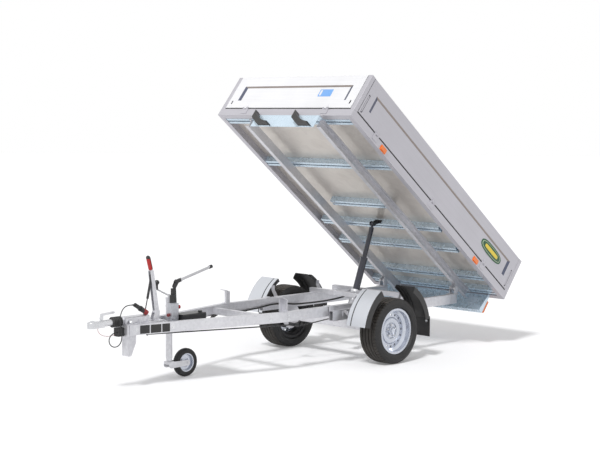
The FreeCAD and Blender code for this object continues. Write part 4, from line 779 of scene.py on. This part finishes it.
# %% Bolts
LEFTWARD, DOWN, REARWARD = (-1, 0, 0), (0, 0, -1), (0, 1, 0)
HEX_CORNER = 0.577
CROWN = 0.44
WASHER = 0.95
WASHER_THICK = 0.11
BOLTS = [  # piece, where the ray starts in the drawing, its direction, across flats in millimetres
    ("drawbar_beams", (400, -2165, 437), LEFTWARD, 19),
    ("drawbar_beams", (400, -1880, 437), LEFTWARD, 19),
    ("drawbar_beams", (600, -1085, 452), LEFTWARD, 17),
    ("drawbar_beams", (600, -1085, 423), LEFTWARD, 17),
    ("drawbar_beams", (700, -917, 452), LEFTWARD, 17),
    ("drawbar_beams", (700, -917, 423), LEFTWARD, 17),
    ("drawbar_beams", (700, -440, 437), LEFTWARD, 17),
    ("drawbar_beams", (700, 60, 437), LEFTWARD, 15),
    ("side_members", (900, -205, 405), LEFTWARD, 19),
    ("side_members", (900, -75, 405), LEFTWARD, 19),
    ("side_members", (900, 95, 400), LEFTWARD, 15),
    ("side_members", (900, 375, 400), LEFTWARD, 15),
    ("overrun_housing", (54, -2190, 900), DOWN, 17),
    ("overrun_housing", (54, -1925, 900), DOWN, 17),
    ("pump_plate", (80, -1815, 900), DOWN, 13),
    ("pump_plate", (80, -1455, 900), DOWN, 13),
    ("mud_flaps", (510, -900, 306), REARWARD, 13),
    ("mud_flaps", (642, -900, 306), REARWARD, 13),
    ("coupling_head", (900, -2425, 470), LEFTWARD, 17),
]


def landing(node, start, direction):
    """Where a ray first meets a node, and the surface's direction there."""
    hit, point, normal, _ = nodes[node].ray_cast(start, Vector(direction).normalized())
    return (point, normal) if hit else (None, None)


def stud(work, point, along, across, height, washer=True):
    """A hexagon head, with or without a washer."""
    seat = Matrix.Translation(point) @ along.to_track_quat("Z", "Y").to_matrix().to_4x4()
    thick = across * WASHER_THICK if washer else 0.0
    stack = [(24, across * WASHER, across * WASHER, thick, 0.0)] if washer else []
    stack += [(6, across * HEX_CORNER, across * HEX_CORNER, height * 0.8, thick),
              (6, across * HEX_CORNER, across * CROWN, height * 0.2, thick + height * 0.8)]
    for segments, low_radius, high_radius, depth, base in stack:
        bmesh.ops.create_cone(work, cap_ends=True, segments=segments, radius1=low_radius, radius2=high_radius,
                              depth=depth, matrix=seat @ Matrix.Translation((0, 0, base + depth / 2)))


studs = bmesh.new()
missed = 0
for node, start, direction, across in BOLTS:
    for side in (1, -1):
        origin = drawn(start[0] * side, start[1], start[2])
        point, normal = landing(node, origin, (direction[0] * side, direction[1], direction[2]))
        if point is None:
            missed += 1
        else:
            stud(studs, point, normal, across * MM, across * MM * 0.5)
keep("bolts_chassis", studs, "chassis", "galv", plated)
print("bolts that met nothing:", missed)

# %% [markdown]
# Wheel bolts
# Five bolts without washers hold each wheel, on a small circle round the hub. They turn with the wheel.

# %% Wheel bolts
WHEEL_BOLTS = 5
WHEEL_BOLT_CIRCLE = 0.046
WHEEL_BOLT_ACROSS = 0.017
WHEEL_BOLT_HEIGHT = 0.013
RAY_FROM_X = 0.9

for side, sign in (("left", 1), ("right", -1)):
    work = bmesh.new()
    for index in range(WHEEL_BOLTS):
        angle = 2 * math.pi * index / WHEEL_BOLTS
        start = Vector((sign * RAY_FROM_X, WHEEL.y + WHEEL_BOLT_CIRCLE * math.sin(angle),
                        WHEEL.z + WHEEL_BOLT_CIRCLE * math.cos(angle)))
        point, normal = landing("rim_" + side, start, (-sign, 0, 0))
        if point is not None:
            stud(work, point, normal, WHEEL_BOLT_ACROSS, WHEEL_BOLT_HEIGHT, washer=False)
    keep("wheel_bolts_" + side, work, side + "_wheel", "galv", plated)
print("bolts in each wheel:", WHEEL_BOLTS)

# %% [markdown]
# Places on the bed
# What sits on a board is easiest to place along the bed and up from its rail, as if the bed were level. A
# helper measures it so, and then tips it about the rear pivot by the bed's own angle.

# %% Places on the bed
BED_REAR = Vector((0, 1.311, 0.593))
PIVOT = Vector((0, 1.047, 0.495))
TIP = Matrix.Rotation(-BED_TILT, 3, "X")
BED_FORWARD = TIP @ Vector((0, -1, 0))
BED_UP = TIP @ Vector((0, 0, 1))
ACROSS = Vector((1, 0, 0))
UPWARD = Vector((0, 0, 1))


def on_bed(x, u, v):
    """A place u metres forward of the bed's rear edge and v above its rail's lower face, tipped with it."""
    lowered = BED_REAR + Vector((x, -u, v))
    return PIVOT + TIP @ (lowered - PIVOT) + Vector((0, WHEEL.y, 0))


print("the bed's forward direction:", tuple(round(value, 3) for value in BED_FORWARD))

# %% [markdown]
# Badge, sticker and plates
# The badge on the left board is a plain green and yellow oval, the sticker on the front board is a plain
# blue and white rectangle, and the three type plates are bare black. Each is a thin raised shape with a
# rounded rim. Its outline is a superellipse: at power 2 it is an ellipse, and at a high power it is nearly a
# rectangle.

# %% Badge, sticker and plates
OUTLINE_POINTS = 72
RIM_SCALE = 0.985
RIM_START = 0.6
SQUARE = 24.0
PLAQUES_SLOT = "black_plastic"


def label_finish(name, colour, dust=0.03):
    return plastic_finish(name, colour, 0.30, dust, 300.0)


badge_green = label_finish("Badge green", (0.012, 0.09, 0.035))
badge_light = label_finish("Badge light green", (0.42, 0.52, 0.36))
badge_yellow = label_finish("Badge yellow", (0.80, 0.62, 0.06))
sticker_blue = label_finish("Sticker blue", (0.18, 0.40, 0.80))
sticker_white = label_finish("Sticker white", (0.80, 0.80, 0.80))
plate_black = label_finish("Plate black", (0.02, 0.02, 0.02), dust=0.05)


def plaque(name, centre, across, up_way, half_width, half_height, thick, body, material, power=SQUARE):
    """A thin raised plate that faces the way that across and up_way give."""
    out = across.cross(up_way).normalized()
    work = bmesh.new()
    rings = []
    for scale, height in ((1.0, 0.0), (1.0, thick * RIM_START), (RIM_SCALE, thick)):
        ring = []
        for index in range(OUTLINE_POINTS):
            angle = 2 * math.pi * index / OUTLINE_POINTS
            c, s = math.cos(angle), math.sin(angle)
            x = math.copysign(abs(c) ** (2 / power), c) * half_width * scale
            y = math.copysign(abs(s) ** (2 / power), s) * half_height * scale
            ring.append(work.verts.new(centre + across * x + up_way * y + out * height))
        rings.append(ring)
    skin(work, rings, closed=True)
    work.faces.new(rings[0])
    work.faces.new(rings[-1])
    keep(name, work, body, PLAQUES_SLOT, material)


BADGE = [  # name, lift off the board, half width, half height, power, finish
    ("badge_rim", 0.0, 0.166, 0.050, 2.6, badge_green),
    ("badge_ring", 0.0018, 0.150, 0.038, 2.6, badge_light),
    ("badge_field", 0.0026, 0.143, 0.033, 2.6, badge_green),
    ("badge_bar", 0.0034, 0.105, 0.017, 5.0, badge_yellow),
]
BADGE_THICK = 0.002
badge_at, badge_out = landing("board_left", on_bed(1.2, 0.41, 0.216), LEFTWARD)
for name, lift, half_width, half_height, power, material in BADGE:
    plaque(name, badge_at + badge_out * lift, -BED_FORWARD, BED_UP, half_width, half_height, BADGE_THICK,
           "left_board", material, power)

STICKER_THICK = 0.0012
BAR_ASIDE = 0.048
sticker_at, sticker_out = landing("board_front", on_bed(0.338, 3.2, 0.228), -BED_FORWARD)
bar_at = sticker_at + sticker_out * 0.001 - ACROSS * BAR_ASIDE
plaque("sticker", sticker_at, ACROSS, BED_UP, 0.069, 0.035, STICKER_THICK, "front_board", sticker_blue)
plaque("sticker_bar", bar_at, ACROSS, BED_UP, 0.009, 0.026, STICKER_THICK, "front_board", sticker_white)

PLATES = ((-2098, 0.038), (-2012, 0.042), (-1934, 0.031))  # Y in the drawing, half width
PLATE_Z = 437
PLATE_HALF_HEIGHT = 0.030
PLATE_THICK = 0.0015
for number, (place_y, half_width) in enumerate(PLATES, 1):
    plate_at, plate_out = landing("drawbar_beams", drawn(600, place_y, PLATE_Z), LEFTWARD)
    level = UPWARD.cross(plate_out).normalized()
    plaque("type_plate_%d" % number, plate_at, level, UPWARD, half_width, PLATE_HALF_HEIGHT, PLATE_THICK,
           "chassis", plate_black)
print("plates on the drawbar:", len(PLATES))

# %% [markdown]
# Pressed edges of the boards and painted shade below them
# The drop sides' panels are sunk between rolled edges that slope. The long slopes are brown, a painted
# reflection of the ground below, and the slopes at the ends are darker with painted shade. Each is a thin wedge
# in a corner of the recess, from the board's face down to the panel. Rays from the middle of the recess find
# its four walls. Below each board a thin black strip, painted shade, stands in for the shaded gap to the rail.

# %% Pressed edges and gap shade strips
PANEL_MIDDLE = 0.2235
PANEL_DEPTH = 0.0078
EDGE_TOP, EDGE_LOW, EDGE_END = 0.013, 0.004, 0.028
# The strip below each board is painted shade: thin black rubber where the gap to the rail lies in shade.
GAP_SHADE_DROP = 0.1540
GAP_SHADE_BEHIND = 0.005
GAP_SHADE_PAST_PANEL = 0.136
GAP_SHADE_HEIGHT = 0.0105
GAP_SHADE_THICK = 0.004
# Painted light on the slopes: the long slopes' brown is a painted reflection of the ground, and the ends' dark
# blue-grey is painted shade.
pressed_edge = drawn_finish("Sloping panel edge", (0.30, 0.26, 0.24), 0.38, 0.40)
shaded_edge = drawn_finish("Shaded panel end", (0.10, 0.11, 0.16), 0.38, 0.40)


def wedge(work, corner, along, length, inward, out, width, index=0):
    """A strip whose section is a triangle in the corner between the recess's wall and its floor."""
    ends = []
    for at in (corner, corner + along * length):
        floor_corner = at - out * PANEL_DEPTH
        ends.append([work.verts.new(spot) for spot in (at, floor_corner, floor_corner + inward * width)])
    for k in range(3):
        n = (k + 1) % 3
        work.faces.new((ends[0][k], ends[0][n], ends[1][n], ends[1][k])).material_index = index
    work.faces.new(ends[0])
    work.faces.new(ends[1][::-1])


def pressed_edges(body, face, out, along, walls):
    rise, fall, ahead, astern = walls
    low = face - BED_UP * fall
    work = bmesh.new()
    wedge(work, face + BED_UP * rise - along * astern, along, ahead + astern, -BED_UP, out, EDGE_TOP)
    wedge(work, low - along * astern, along, ahead + astern, BED_UP, out, EDGE_LOW)
    wedge(work, low + along * ahead, BED_UP, rise + fall, -along, out, EDGE_END, 1)
    wedge(work, low - along * astern, BED_UP, rise + fall, along, out, EDGE_END, 1)
    keep("pressed_edges_" + body, work, body, "aluminium", pressed_edge, shaded_edge, sharp=20)


# A thin black box below a board, painted shade where the gap to the rail lies in shade.
def gap_shade_strip(body, face, out, along, walls):
    ahead, astern = walls[2:]
    middle = face + along * ((ahead - astern) / 2) - BED_UP * GAP_SHADE_DROP - out * GAP_SHADE_BEHIND
    turned = Matrix((along, BED_UP, out)).transposed().to_4x4()
    size = Matrix.Diagonal((ahead + astern + 2 * GAP_SHADE_PAST_PANEL, GAP_SHADE_HEIGHT, GAP_SHADE_THICK, 1))
    work = bmesh.new()
    bmesh.ops.create_cube(work, size=1.0, matrix=Matrix.Translation(middle) @ turned @ size)
    keep("gap_shade_strip_" + body, work, body, "rubber", soft_rubber)


BOARDS = [  # piece, body, a place outside the board as x and u on the bed, the way in, the way along
    ("board_left", "left_board", 1.2, 1.2535, -ACROSS, BED_FORWARD),
    ("board_right", "right_board", -1.2, 1.2535, ACROSS, BED_FORWARD),
    ("board_front", "front_board", 0.0, 3.2, -BED_FORWARD, ACROSS),
    ("tailgate", "rear_board", 0.0, -0.6, BED_FORWARD, ACROSS),
]
for name, body, x, u, inwards, along in BOARDS:
    panel, _ = landing(name, on_bed(x, u, PANEL_MIDDLE), inwards)
    out = -inwards
    inside = panel + out * (PANEL_DEPTH / 2)
    walls = [(landing(name, inside, way)[0] - inside).length for way in (BED_UP, -BED_UP, along, -along)]
    for dress in (pressed_edges, gap_shade_strip):
        dress(body, panel + out * PANEL_DEPTH, out, along, walls)
    print(name, "recess:", round(walls[0] + walls[1], 4), "by", round(walls[2] + walls[3], 4))

# %% [markdown]
# Back of the brake grip
# The grip is moulded in two colours, red in front and black behind. The back is a thin half sleeve on the
# grip: rings of points that go part of the way round, skinned and then given a thickness.

# %% Grip's back
GRIP_LOW = drawn(0, -1965, 851)
GRIP_ALONG = Vector((0, -24, 88)).normalized()
GRIP_REAR = Vector((0, GRIP_ALONG.z, -GRIP_ALONG.y))
GRIP_LENGTH = 0.1
GRIP_RADIUS = 0.0156
GRIP_WRAP = 70
GRIP_STEPS = 12
SLEEVE_THICK = 0.0008

work = bmesh.new()
rings = []
for share, scale in ((0.0, 0.93), (0.04, 1.0), (0.5, 1.0), (0.86, 1.0), (0.9, 0.93)):
    centre = GRIP_LOW + GRIP_ALONG * (share * GRIP_LENGTH)
    ring = []
    for index in range(GRIP_STEPS + 1):
        angle = math.radians(-GRIP_WRAP + 2 * GRIP_WRAP * index / GRIP_STEPS)
        around = GRIP_REAR * math.cos(angle) + ACROSS * math.sin(angle)
        ring.append(work.verts.new(centre + around * (GRIP_RADIUS * scale)))
    rings.append(ring)
skin(work, rings, closed=False)
bmesh.ops.solidify(work, geom=work.faces[:], thickness=-SLEEVE_THICK)
keep("grip_back", work, "chassis", "black_plastic", guard_plastic)
print("rings in the grip's back:", len(rings))
